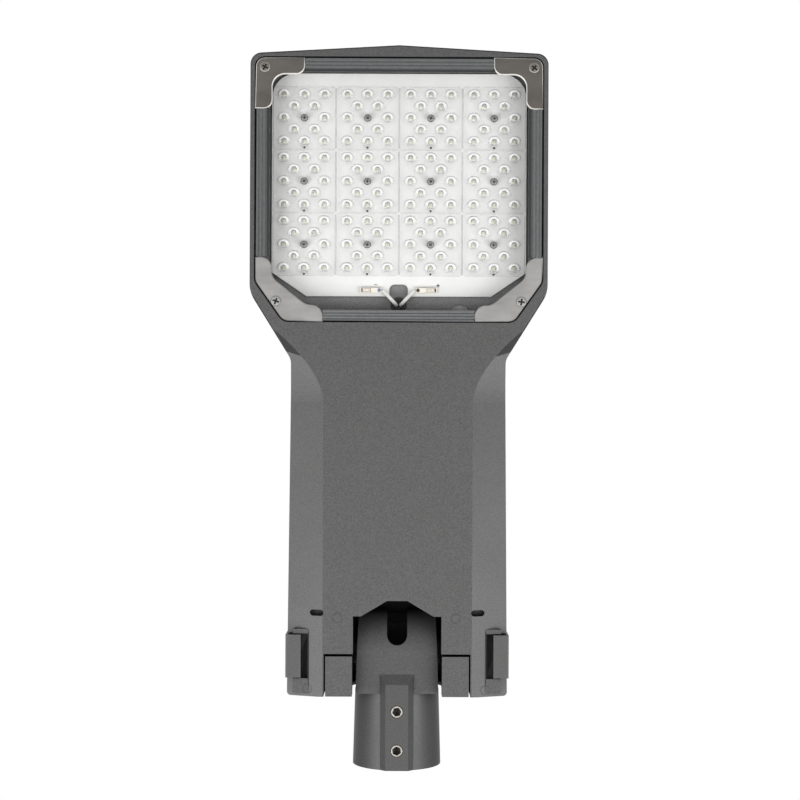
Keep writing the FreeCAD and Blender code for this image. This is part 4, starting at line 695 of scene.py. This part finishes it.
module_form = reopened(plate_mesh)
hidden_backs = [face for face in module_form.faces
                if face.calc_center_median().z > SLAB_BACK - 0.0001 and abs(face.normal.z) > 0.9]
bmesh.ops.delete(module_form, geom=hidden_backs, context="FACES")
for face in module_form.faces:
    face.material_index = plate_face(face)
    face.smooth = abs(face.normal.z) < 0.9995
for spot in LENS_SPOTS:
    arch_band(module_form, spot)
plate_mesh = written("lens_module", module_form)
give(plate_mesh, [lens_finish, rim_finish, inner_wall, seam_finish, faint_seam])
print("lens plate", len(plate_mesh.polygons), "faces")

# %% [markdown]
# The twelve plates are the same moulding, so they share one mesh, and each object only says
# where its plate is. The place comes from the CAD node that it stands for.

# %% Twelve lens plates


def middle(name):
    low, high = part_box(name)
    return (low + high) / 2


module_centres = []
for number in range(1, 13):
    node_name = "lens_plate_%02d" % number
    centre = middle(node_name)
    module_centres.append((centre.x, centre.y))
    plate = add_object("lens_module_%02d" % number, plate_mesh)
    plate.location = (centre.x, centre.y, 0)
    settle(plate, [node_name], "head")
print("modules", len(module_centres))

# %% [markdown]
# The board is a stamped aluminium sheet. Its front corners are widely rounded, its rear corners
# are cut off, and a rounded notch at the rear lets the leads through. The outline is walked once
# and pulled to the board's thickness, with a small rounding on the edge that faces the light.

# %% Board

board_low, board_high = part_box("led_board")
BOARD_HALF, BOARD_REAR, BOARD_FRONT = board_high.x, board_low.y, board_high.y
FRONT_ROUND = 0.0195
REAR_CUT = (0.0279, 0.019)
NOTCH_HALF, NOTCH_DEPTH, NOTCH_ROUND = 0.0074, 0.0096, 0.0042
BOARD_EDGE = 0.0002
BOARD_MIDDLE_Y = 0.46


def quarter(centre, radius, start, steps, turn=1):
    """Points of a quarter circle from a start angle in degrees."""
    points = []
    for i in range(steps + 1):
        angle = math.radians(start + turn * 90 * i / steps)
        points.append((centre[0] + radius * math.cos(angle), centre[1] + radius * math.sin(angle)))
    return points


notch_top = BOARD_REAR + NOTCH_DEPTH
half_outline = [(0.0, notch_top)]
half_outline += quarter((NOTCH_HALF - NOTCH_ROUND, notch_top - NOTCH_ROUND), NOTCH_ROUND, 90, 6, -1)
half_outline += [(NOTCH_HALF, BOARD_REAR), (BOARD_HALF - REAR_CUT[0], BOARD_REAR),
                 (BOARD_HALF, BOARD_REAR + REAR_CUT[1])]
half_outline += quarter((BOARD_HALF - FRONT_ROUND, BOARD_FRONT - FRONT_ROUND), FRONT_ROUND, 0, 12)
outline = half_outline + [(-x, y) for x, y in reversed(half_outline[1:])]
board_form = bmesh.new()
loops = []
for inset, z in ((0.0, board_high.z), (0.0, board_low.z + BOARD_EDGE), (BOARD_EDGE, board_low.z)):
    loop = []
    for x, y in outline:
        inward = Vector((-x, BOARD_MIDDLE_Y - y)).normalized() * inset
        loop.append(board_form.verts.new((x + inward.x, y + inward.y, z)))
    loops.append(loop)
closed(board_form, loops, smooth=False)
piece("led_board_sheet", board_form, [mask_finish], ["led_board"])
print("board", [round(v * 1000, 1) for v in (BOARD_HALF, BOARD_REAR, BOARD_FRONT)])

# %% [markdown]
# Under every dome sits a chip: a square of white ceramic with a raised patch of yellow
# phosphor, soldered between two tinned pads. They show through the lenses, so they're worth a
# few faces each.

# %% Chips

CHIP_BOARD = -0.0256
CHIP_HALF, CHIP_THICK = 0.00175, 0.0005
PATCH_PROFILE = [(0.00138, CHIP_BOARD - CHIP_THICK), (0.00125, CHIP_BOARD - 0.00064),
                 (0.0005, CHIP_BOARD - 0.0007)]
PAD_OFFSET, PAD_HALF, PAD_THICK = 0.00235, (0.0016, 0.00045), 0.00012
CERAMIC, PHOSPHOR, TINNED = range(3)


def bevelled_block(form, centre, half, low, high, bevel, material=0):
    """A block whose far face is drawn in by a bevel, standing towards -Z."""
    x, y = centre
    a, b = half

    def loop(inset, z):
        return [form.verts.new((x + sx * (a - inset), y + sy * (b - inset), z))
                for sx, sy in ((1, 1), (-1, 1), (-1, -1), (1, -1))]

    closed(form, [loop(0, high), loop(0, low + bevel), loop(bevel, low)], material, smooth=False)


chips = bmesh.new()
for module in module_centres:
    for spot in LENS_SPOTS:
        at = (module[0] + spot[0], module[1] + spot[1])
        chip_top = CHIP_BOARD - CHIP_THICK
        bevelled_block(chips, at, (CHIP_HALF, CHIP_HALF), chip_top, CHIP_BOARD, 0.00008, CERAMIC)
        closed(chips, round_rings(chips, at, PATCH_PROFILE, 16), PHOSPHOR)
        for side in (-1, 1):
            pad = (at[0], at[1] + side * PAD_OFFSET)
            bevelled_block(chips, pad, PAD_HALF, CHIP_BOARD - PAD_THICK, CHIP_BOARD, 0.00004, TINNED)
piece("led_packages", chips, [plain["driver_case_paint"], phosphor_finish, pad_finish],
      ["led_chips"])
print("chips", 12 * len(LENS_SPOTS))

# %% [markdown]
# Pan head screws with a cross recess hold the corner clamps and the lens plates. The head is
# turned from a low profile, and the cross is cut as a real recess, because a dark painted cross
# would look flat as soon as the camera moves.

# %% Cross-recess screws


def cross_outline(arm, width):
    """The twelve corners of a cross, walked from the arm at +X."""
    points = []
    for x, y in ((1, 0), (0, 1), (-1, 0), (0, -1)):
        points += [(arm * x + width * y, arm * y - width * x), (arm * x - width * y, arm * y + width * x),
                   (width * (x - y), width * (x + y))]
    return points


HEAD_PROFILE = [(0.97, 0.0), (1.0, 0.3), (0.97, 0.6), (0.86, 0.84), (0.6, 0.95), (0.4, 1.0)]
METAL, RECESS, RIM_PAINTED_LIGHT_AND_SHADE = range(3)


def screw_mesh(name, head, height, stem, reach, arm, width, depth, materials):
    """A screw that points to +Z, its head's seat at z 0 and its tip at +reach."""
    profile = [(stem, reach), (stem, 0.0)] + [(head * share, -height * up) for share, up in HEAD_PROFILE]
    form = bmesh.new()
    closed(form, round_rings(form, (0, 0), profile, 28))
    cutter = bmesh.new()
    outer = cross_outline(arm, width)
    inner = cross_outline(arm * 0.6, width * 0.55)
    loops = [[cutter.verts.new((x, y, -height * 1.3)) for x, y in outer],
             [cutter.verts.new((x, y, -height + 0.0001)) for x, y in outer],
             [cutter.verts.new((x, y, -height + depth)) for x, y in inner]]
    closed(cutter, loops, smooth=False)
    mesh = cut(name, form, cutter)
    give(mesh, materials)
    for face in mesh.polygons:
        spot = face.center
        sunk = spot.z > -height * 0.94 and math.hypot(spot.x, spot.y) < arm * 0.98 and spot.z < 0
        # Faces inside the recess take a nearly black finish: painted shade.
        face.material_index = RECESS if sunk else METAL
        face.use_smooth = not sunk
    return mesh


print("rings in a screw head", len(HEAD_PROFILE))

# %% [markdown]
# A screw could be modelled anew at each place, but the same screw differs only in how far it was
# turned. So one mesh is copied to every place: the turns of the corner screws are given, and
# those of the lens screws are drawn at random, from a fixed seed. The rim of a head leans away
# from the light and takes its own finish.

# %% Screws in their places


def paint_rim_light_and_shade(mesh, inner):
    """Give the head outside a radius the finish of its rim, which is painted light and shade."""
    for face in mesh.polygons:
        reach = math.hypot(face.center.x, face.center.y)
        if reach > inner and face.center.z < 0 and face.material_index == METAL:
            face.material_index = RIM_PAINTED_LIGHT_AND_SHADE


def set_screws(name, mesh, places, turns, node_name, body="head"):
    """One object with a copy of the screw at every place; turns are in radians."""
    form = bmesh.new()
    for place, turn in zip(places, turns):
        part = mesh.copy()
        part.transform(Matrix.Translation(place) @ Matrix.Rotation(turn, 4, "Z"))
        form.from_mesh(part)
        bpy.data.meshes.remove(part)
    piece(name, form, list(mesh.materials), [node_name], body)


# The front and rear screws take the tones of their clamps, which are painted reflection. The rim finish
# is a painted highlight on the front screws and painted shade on the rear and lens screws.
CORNER_SPOTS = {"front": (0.1057, 0.5542), "rear": (0.0964, 0.3704)}
CORNER_TURNS = {"front": (0.5, 0.7), "rear": (0.35, 0.15)}
CORNER_SEAT = -0.0453
for end, (x, y) in CORNER_SPOTS.items():
    finishes = [plain[end + "_clamp_screw"], plain["screw_recess"], plain[end + "_screw_rim"]]
    corner_mesh = screw_mesh(end + "_screw", head=0.0041, height=0.0012, stem=0.0019, reach=0.0118,
                             arm=0.0026, width=0.00064, depth=0.0011, materials=finishes)
    paint_rim_light_and_shade(corner_mesh, 0.0033)
    set_screws(end + "_clamp_screws", corner_mesh, [(x, y, CORNER_SEAT), (-x, y, CORNER_SEAT)],
               CORNER_TURNS[end], "corner_screws")
finishes = [plain["lens_screw_zinc"], plain["screw_recess"], plain["screw_head_rim"]]
lens_mesh = screw_mesh("lens_screw", head=0.00295, height=0.0022, stem=0.0013, reach=0.0067, arm=0.0013,
                       width=0.0003, depth=0.0014, materials=finishes)
paint_rim_light_and_shade(lens_mesh, 0.0024)
random.seed(7)
lens_places = [(x, y, SLAB_FRONT) for x, y in module_centres]
lens_turns = [random.uniform(0, math.pi / 2) for _ in lens_places]
set_screws("lens_module_screws", lens_mesh, lens_places, lens_turns, "lens_screws")
print("screws", 2 * len(CORNER_SPOTS) + len(lens_places))

# %% [markdown]
# A small black locating pin shows at the foot of each module. A black spot in the board's paint
# could stand for it, but a short turned peg keeps its edge and its highlight from close by.

# %% Locating pins

PIN_OFFSET = 0.0234
PIN_PROFILE = [(0.0009, SLAB_FRONT), (0.0009, SLAB_FRONT - 0.0003), (0.0006, SLAB_FRONT - 0.0005)]

pins = bmesh.new()
for x, y in module_centres:
    closed(pins, round_rings(pins, (x, y - PIN_OFFSET), PIN_PROFILE, 14))
piece("module_locating_pins", pins, [plain["black_rubber"]])
print("locating pins", len(module_centres))

# %% [markdown]
# Clamps, rails, castings and the glass keep their CAD shape, but one finish isn't enough for
# them. A copy of the node's mesh takes a finish face by face, and the CAD node stays as it is.
# In the CAD part neighbours touch, and their edges would melt together in the picture. Real
# ones leave a dark joint line, so a second helper draws the outer sides of a copy in a little.
# The sides of the screw holes stay where the screws are.

# %% Helpers for copies of nodes

WINDOW_MIDDLE = Vector((0, 0.462))
SCREW_SPOTS = [(side * x, y) for x, y in CORNER_SPOTS.values() for side in (1, -1)]
HOLE_CLEARANCE = 0.006


def copied(node_name, name, materials, choose, body="head"):
    """A piece with the node's shape; choose gives each face the number of its material."""
    mesh = nodes[node_name].data.copy()
    mesh.name = name
    mesh.materials.clear()
    give(mesh, materials)
    for face in mesh.polygons:
        face.material_index = choose(face)
    return settle(add_object(name, mesh), [node_name], body)


def draw_in(thing, amount, least=0.0, keep_off=()):
    """Move the outermost sides towards the window's middle; least is how far out a side must be."""
    mesh = thing.data
    ways = {}
    for face in mesh.polygons:
        if abs(face.normal.z) < 0.8:
            for index in face.vertices:
                key = tuple(round(v, 6) for v in mesh.vertices[index].co)
                ways[key] = ways.get(key, Vector((0, 0))) + face.normal.xy
    moved = 0
    for vert in mesh.vertices:
        way = ways.get(tuple(round(v, 6) for v in vert.co), Vector((0, 0))).normalized()
        out = vert.co.xy - WINDOW_MIDDLE
        near_hole = any((vert.co.xy - Vector(hole)).length < HOLE_CLEARANCE for hole in keep_off)
        if way.dot(out.normalized()) > 0.3 and way.dot(out) > least and not near_hole:
            vert.co.xy -= way * amount
            moved += 1
    return moved


print("kept off", len(SCREW_SPOTS), "screw holes")

# %% [markdown]
# Stamping leaves a polished edge round each clamp. A modelled bevel would cost many faces for so
# thin a line, so the sides of the plate take a finish of their own: a painted highlight on the
# front clamps and painted shade on the rear ones.

# %% Corner clamps

CLAMP_GAP = 0.0007


def clamp_face(face):
    return 0 if abs(face.normal.z) > 0.97 else 1


for end, steel, edge in (("front", front_steel_painted_reflection, edge_painted_highlight), ("rear", rear_steel_painted_reflection, edge_painted_shade)):
    for side in ("right", "left"):
        clamp = copied("corner_plate_%s_%s" % (end, side), "clamp_%s_%s" % (end, side), [steel, edge],
                       clamp_face)
        print(clamp.name, "corners drawn in", draw_in(clamp, CLAMP_GAP, keep_off=SCREW_SPOTS))

# %% [markdown]
# The lamp chamber takes a much lighter coat, painted light that lifts the shade of its deep
# recess, and the walls of narrow gaps take a nearly black one, painted shade: beside the knuckle,
# behind the latches, in the drain slots and round the seat of the window. Boxes in the casting's
# own coordinates tell these faces. The inside of the cover and the ears' inner cheeks, also in
# painted shade, are told by the way that they face.

# %% Housing, ears and cover

KNUCKLE_SIDE = 0.0362


def housing_face(face):
    """0 outside, 1 in the lamp chamber, which is painted light, 2 in a narrow gap, which is painted
    shade.
    """
    x, y, z = face.center
    side = abs(x)
    if y > 0.353 and side < 0.106 and -0.0362 < z < -0.02:
        return 1
    beside_knuckle = side < KNUCKLE_SIDE and y < 0.137 and abs(face.normal.z) < 0.6 and z > -0.0435
    behind_latch = 0.0695 < side < 0.0765 and 0.0725 < y < 0.1095 and z > -0.0425
    drain = 0.057 < side < 0.0695 and 0.1228 < y < 0.1284 and abs(face.normal.z) < 0.5
    window_seat = y > 0.33 and -0.0449 < z < -0.0365 and side < 0.1142
    return 2 if beside_knuckle or behind_latch or drain or window_seat else 0


def ear_face(face):
    return 1 if abs(face.center.x) < KNUCKLE_SIDE and abs(face.normal.x) > 0.5 else 0


def cover_face(face):
    return 1 if face.normal.z < -0.5 and face.center.z > 0 else 0


copied("top_cover", "cover_casting", [casting_grey, cover_inside_painted_shade], cover_face, "cover")
housing = copied("main_housing", "housing_casting", [casting_grey, chamber_coat_painted_light, plain["dark_gap_coat"]],
                 housing_face)
for side in ("right", "left"):
    copied("pivot_ear_" + side, "ear_casting_" + side, [casting_grey, plain["dark_gap_coat"]], ear_face)
print("housing faces", len(housing.data.polygons))

# %% [markdown]
# The window is held by extruded rails. Their grooves take a paler copy of the finish, painted
# light that lifts the shade in them, and the lip towards the glass takes a dark copy, painted
# shade. A groove is told by its height above the rail's face.

# %% Window rails

RAIL_GAP = 0.0009
RAIL_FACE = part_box("frame_rail_front")[0].z
RAIL_REACH = {"front": 0.0985, "rear": 0.1075, "right": 0.1115, "left": 0.1115}
LAND, GROOVE, LIP = range(3)


def rail_face(face):
    x, y, z = face.center
    if abs(x) < 0.104 and 0.365 < y < 0.5529:
        return LIP
    return GROOVE if RAIL_FACE + 0.0001 < z < RAIL_FACE + 0.0012 else LAND


for side, reach in RAIL_REACH.items():
    rail = copied("frame_rail_" + side, "window_rail_" + side, [rail_finish, groove_painted_light, lip_painted_shade],
                  rail_face)
    print(rail.name, "corners drawn in", draw_in(rail, RAIL_GAP, reach))

# %% [markdown]
# The pane is a flat sheet. Closed, it would dim the board twice, once at each face. So its upper
# face, which one can't tell from outside, is taken off, and the light passes only once.

# %% Window pane

pane = copied("glass_pane", "glass_sheet", [glass_finish], lambda face: 0)
pane_form = bmesh.new()
pane_form.from_mesh(pane.data)
upper = [face for face in pane_form.faces if face.normal.z > 0.9]
bmesh.ops.delete(pane_form, geom=upper, context="FACES")
pane_form.to_mesh(pane.data)
pane_form.free()
print("glass faces", len(pane.data.polygons))

# %% [markdown]
# The spigot is a cast tube that ends in a half drum. Hardly any light gets into it, and shadows
# alone left it greyer than the real one. So the bore, the drum, the walls of its cable slot and
# the roof above it take a nearly black finish.

# %% Spigot

DRUM_MIDDLE_Y = 0.0932
BORE_REACH, DRUM_REACH = 0.0312, 0.0277


def spigot_face(face):
    """1 on the faces inside, 0 outside."""
    x, y, z = face.center
    bore = y < 0.068 and math.hypot(x, z) < BORE_REACH
    drum = y >= 0.06 and abs(x) < DRUM_REACH and math.hypot(y - DRUM_MIDDLE_Y, z) < DRUM_REACH
    slot_wall = abs(x) < 0.0084 and 0.097 < y < 0.132 and abs(face.normal.z) < 0.5 and z < -0.004
    drum_roof = abs(x) < 0.031 and 0.07 < y < 0.136 and z > 0 and face.normal.z < -0.2
    return 1 if bore or drum or slot_wall or drum_roof else 0


spigot = copied("spigot_adaptor", "spigot_casting", [spigot_grey, plain["unlit_interior"]], spigot_face,
                "spigot")
print("dark faces in the spigot", sum(face.material_index for face in spigot.data.polygons))

# %% [markdown]
# The two set screws are M10 with a hexagon socket. From below one sees the flat bright ring of
# the end, a chamfer, and the dark hexagon. The socket is cut out as the crosses are: a painted
# one would look flat from close by.

# %% Socket set screws


def socket_screw_mesh(name, radius, length, across, depth, materials):
    """A set screw with its socket end at z 0 and its body towards +Z."""
    core = radius * 0.95
    profile = [(radius * 0.62, length), (core, length - 0.0012), (core, 0.0007), (radius * 0.87, 0.0)]
    form = bmesh.new()
    closed(form, round_rings(form, (0, 0), profile, 36))
    cutter = bmesh.new()
    corner = across / math.sqrt(3)
    profile = [(corner, -0.001), (corner, depth), (corner * 0.25, depth + 0.001)]
    closed(cutter, round_rings(cutter, (0, 0), profile, 6), smooth=False)
    mesh = cut(name, form, cutter)
    give(mesh, materials)
    for face in mesh.polygons:
        spot = face.center
        # The socket's faces take the same nearly black painted shade.
        sunk = math.hypot(spot.x, spot.y) < corner * 0.99 and 0.0001 < spot.z < depth + 0.002
        face.material_index = 1 if sunk else 0
        face.use_smooth = 0.1 < abs(face.normal.z) < 0.9
    return mesh


SET_SCREW_ROWS = (0.0159, 0.0467)
low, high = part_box("spigot_set_screws")
screw_end = low.z
screw_length = high.z - low.z
socket_mesh = socket_screw_mesh("spigot_grub", radius=0.005, length=screw_length, across=0.0064,
                                depth=0.0042, materials=[plain["screw_ring"], plain["screw_recess"]])
set_screws("socket_set_screws", socket_mesh, [(0, y, screw_end) for y in SET_SCREW_ROWS], (0.4, 0.9),
           "spigot_set_screws", "spigot")
print("set screws", round(screw_length, 4), "long, end at", round(screw_end, 4))

# %% [markdown]
# Each lead ends in a surface-mount connector: a cream body with a release window near its outer
# end. A Boolean cuts the window, whose walls take a nearly black painted shade, and small inserts
# make its floor, the dark slot beside it, which is painted shade, and the wire entry at the inner
# end, dark as painted shade on the plus connector.

# %% Board connectors

connector_low, connector_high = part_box("board_connectors")
CONNECTOR_Y = (connector_low.y + connector_high.y) / 2
CONNECTOR_TOP, CONNECTOR_BACK = connector_low.z, connector_high.z
HALF_LONG, HALF_DEEP = 0.0085, 0.0021
POCKET_SHIFT, POCKET_DEPTH = 0.0038, 0.0009
SLOT_SHIFT = 0.0072
ENTRY_INSET = 0.0018
ENTRY_PROFILE = [(0.0015, CONNECTOR_TOP + 0.0004), (0.0015, CONNECTOR_TOP - 0.00005),
                 (0.0011, CONNECTOR_TOP - 0.00012)]
CREAM, WINDOW, DARK, ENTRY = range(4)
connector_middle = connector_high.x - HALF_LONG


def connector(name, side):
    """One connector without its wire entry; side is 1 for the one at +X."""
    centre = side * connector_middle
    window_x = centre + side * POCKET_SHIFT
    outer = bmesh.new()
    half = (HALF_LONG, HALF_DEEP)
    bevelled_block(outer, (centre, CONNECTOR_Y), half, CONNECTOR_TOP, CONNECTOR_BACK, 0.0004)
    pocket = bmesh.new()
    floor_z = CONNECTOR_TOP + POCKET_DEPTH
    window = (window_x, CONNECTOR_Y)
    bevelled_block(pocket, window, (0.0038, 0.0015), CONNECTOR_TOP - 0.0005, floor_z, 0.0001)
    form = reopened(cut(name, outer, pocket))
    for face in form.faces:
        spot = face.calc_center_median()
        in_window = abs(spot.x - window_x) < 0.0039 and abs(spot.y - CONNECTOR_Y) < 0.0016
        face.material_index = DARK if in_window and abs(face.normal.z) < 0.5 else CREAM
    insert = (window_x - side * 0.0003, CONNECTOR_Y)
    bevelled_block(form, insert, (0.003, 0.0012), floor_z - 0.0003, floor_z, 0.0001, WINDOW)
    slot = (centre + side * SLOT_SHIFT, CONNECTOR_Y)
    bevelled_block(form, slot, (0.0005, 0.0014), floor_z - 0.0005, floor_z, 0.0001, DARK)
    return form


for pole, side, entry_name in (("minus", 1, "tinned_contact"), ("plus", -1, "wire_entry")):
    name = "connector_" + pole
    form = connector(name, side)
    entry = (side * (connector_middle - HALF_LONG + ENTRY_INSET), CONNECTOR_Y)
    closed(form, round_rings(form, entry, ENTRY_PROFILE, 16), ENTRY)
    materials = [plain["connector_cream"], plain["connector_window"], plain["screw_recess"],
                 plain[entry_name]]
    piece(name, form, materials, ["board_connectors"])
print("connectors at", round(connector_middle, 4), round(CONNECTOR_Y, 4))

# %% [markdown]
# A plain minus and a plain plus are printed beside the connectors. An image could carry them, but
# flat shapes of ink, a twentieth of a millimetre thick, stay sharp from close by and need no file.

# %% Polarity marks

INK_TOP, INK_BACK = CHIP_BOARD - 0.00005, CHIP_BOARD
MINUS_SPOT, PLUS_SPOT = (0.0184, 0.3853), (-0.0314, 0.3846)
STROKES = [(MINUS_SPOT, (0.0013, 0.00022)), (PLUS_SPOT, (0.0013, 0.0004)), (PLUS_SPOT, (0.0004, 0.0013))]

marks = bmesh.new()
for spot, half in STROKES:
    bevelled_block(marks, spot, half, INK_TOP, INK_BACK, 0.00001)
piece("polarity_marks", marks, [plain["mark_ink"]])
print("ink strokes", len(STROKES))

# %% [markdown]
# The leads pass through the wall in a rubber grommet. It is turned as a soft-edged lip around a
# sunken middle. Beside it a drop of sealant closes a core hole of the casting.

# %% Grommet and sealant

GROMMET_Y = 0.369
grommet_low, grommet_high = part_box("lead_grommet")
lip_z = grommet_low.z
LIP_PROFILE = [(0.0051, grommet_high.z), (0.0051, -0.024), (0.0058, -0.0242), (0.0061, -0.0249),
               (0.0056, lip_z + 0.0002), (0.0048, lip_z), (0.0041, lip_z + 0.0003),
               (0.0038, lip_z + 0.0012), (0.0012, lip_z + 0.0014)]
SEALANT_SPOT, SEALANT_HALF = (-0.0491, 0.3643), (0.0068, 0.0052)
SEALANT_PROFILE = [(1.0, -0.0239), (0.97, -0.0246), (0.82, -0.0257), (0.55, -0.0266), (0.2, -0.027)]

lip = bmesh.new()
closed(lip, round_rings(lip, (0, GROMMET_Y), LIP_PROFILE, 36))
piece("lead_grommet_lip", lip, [plain["black_rubber"]], ["lead_grommet"])
drop = turned(SEALANT_PROFILE, [SEALANT_SPOT], SEALANT_HALF, 28)
piece("sealant_drop", drop, [plain["sealant"]])
print("grommet lip at", round(lip_z, 4))

# %% [markdown]
# Round ejector pins leave thin circles on the underside of a die casting. Each is a very low
# ridge, here a turned ring. The underside is flat in some places and leans in others, so a ray
# from below finds the height of the casting under every corner of the ring.

# %% Ejector marks

casting = BVHTree.FromPolygons([corner.co for corner in housing.data.vertices],
                               [face.vertices for face in housing.data.polygons])


EJECTOR_SPOTS = [(0.0470, 0.1217), (-0.0460, 0.1215), (0.0707, 0.0655), (-0.0695, 0.0647)]
EJECTOR_RADIUS = 0.0036
RIDGE_PROFILE = [(-0.00032, 0.00005), (-0.00016, -0.00008), (0.00016, -0.00008), (0.00032, 0.00005)]
BELOW_ALL = -0.1


def ejector_ring(form, spot):
    """A low ring draped over the underside."""
    loops = []
    for reach, rise in RIDGE_PROFILE:
        radius = EJECTOR_RADIUS + reach
        loop = ring(form, spot, radius, radius, BELOW_ALL, 36)
        for corner in loop:
            corner.co.z = casting.ray_cast(corner.co, Vector((0, 0, 1)))[0].z + rise
        loops.append(loop)
    skin(form, loops)


rings = bmesh.new()
for spot in EJECTOR_SPOTS:
    ejector_ring(rings, spot)
levels = [corner.co.z * 1000 for corner in rings.verts]
# The rings take a nearly black finish: painted shade of the thin line.
piece("ejector_marks", rings, [plain["ejector_mark"]])
print("ejector marks between", round(min(levels), 2), "and", round(max(levels), 2), "mm")

# %% [markdown]
# The light is plain and soft. The world is a room with a white ceiling, which makes the
# background, and pale grey walls, so that the sides of the casting fall off a little. Two
# softboxes stand low on either side: the sloping flanks mirror them towards the camera and come
# out lighter than the flat underside.

# %% Light and floor

WALL_WHITE = 0.55
MIDDLE_OF_HEAD = Vector((0, 0.29, 0))
PANEL_SPOT, PANEL_SIZE, PANEL_POWER = (1.15, -0.35, -1.2), (0.9, 1.2), 21
FLOOR_Z, FLOOR_HALF = -1.65, 14


def softbox(name, place, aim, size, power):
    light = bpy.data.lights.new(name, "AREA")
    light.shape = "RECTANGLE"
    light.size, light.size_y = size
    light.energy = power
    lamp = add_object(name, light)
    lamp.location = place
    lamp.rotation_euler = (aim - Vector(place)).to_track_quat("-Z", "Y").to_euler()


world = bpy.data.worlds.new("studio_white")
world.use_nodes = True
sky = Graph(world.node_tree)
direction = sky.add("TexCoord")
height = sky.add("SeparateXYZ", {"Vector": direction.outputs["Generated"]})
brightness = sky.spread(height.outputs["Z"], WALL_WHITE, 1.0, 0.55, 0.85)
sky.drive(sky.tree.nodes["Background"], {"Color": (1, 1, 1, 1), "Strength": brightness})
bpy.context.scene.world = world
for name, side in (("left_panel", 1), ("right_panel", -1)):
    softbox(name, (side * PANEL_SPOT[0], *PANEL_SPOT[1:]), MIDDLE_OF_HEAD, PANEL_SIZE, PANEL_POWER)
floor_form = bmesh.new()
bmesh.ops.create_grid(floor_form, x_segments=12, y_segments=12, size=FLOOR_HALF)
floor = add_object("studio_floor", written("studio_floor", floor_form))
floor.location = (0, MIDDLE_OF_HEAD.y, FLOOR_Z)
dress(floor, plain_finish("studio_floor_paint", (0.75, 0.75, 0.74), 0.7, 0.0, 3, 0.02))
bpy.context.scene.view_settings.view_transform = "Standard"
bpy.context.scene.view_settings.look = "None"
print("light and floor ready")

# %% [markdown]
# The picture is taken from straight below, in line with the foot of the window. The lens is long,
# because a wide one would show more of the inner walls. Looking up, X runs to the left of the
# picture. The camera is rolled by a quarter of a degree, as the head isn't quite upright in it.

# %% Camera

CAMERA_SPOT = (0, 0.2695, -1.345)
ROLL_DEGREES = 0.25
camera_data = bpy.data.cameras.new("studio_camera")
camera_data.lens = 74.5
camera_data.sensor_width = 36
camera_data.shift_x = 0.0025
camera_data.shift_y = 0.0375
camera_data.clip_end = 50
camera = add_object("studio_camera", camera_data)
camera.location = CAMERA_SPOT
look_up = Matrix.Rotation(math.pi, 4, "Y") @ Matrix.Rotation(math.radians(ROLL_DEGREES), 4, "Z")
camera.rotation_euler = look_up.to_euler()
bpy.context.scene.camera = camera
print("camera", tuple(round(v, 4) for v in camera.location))
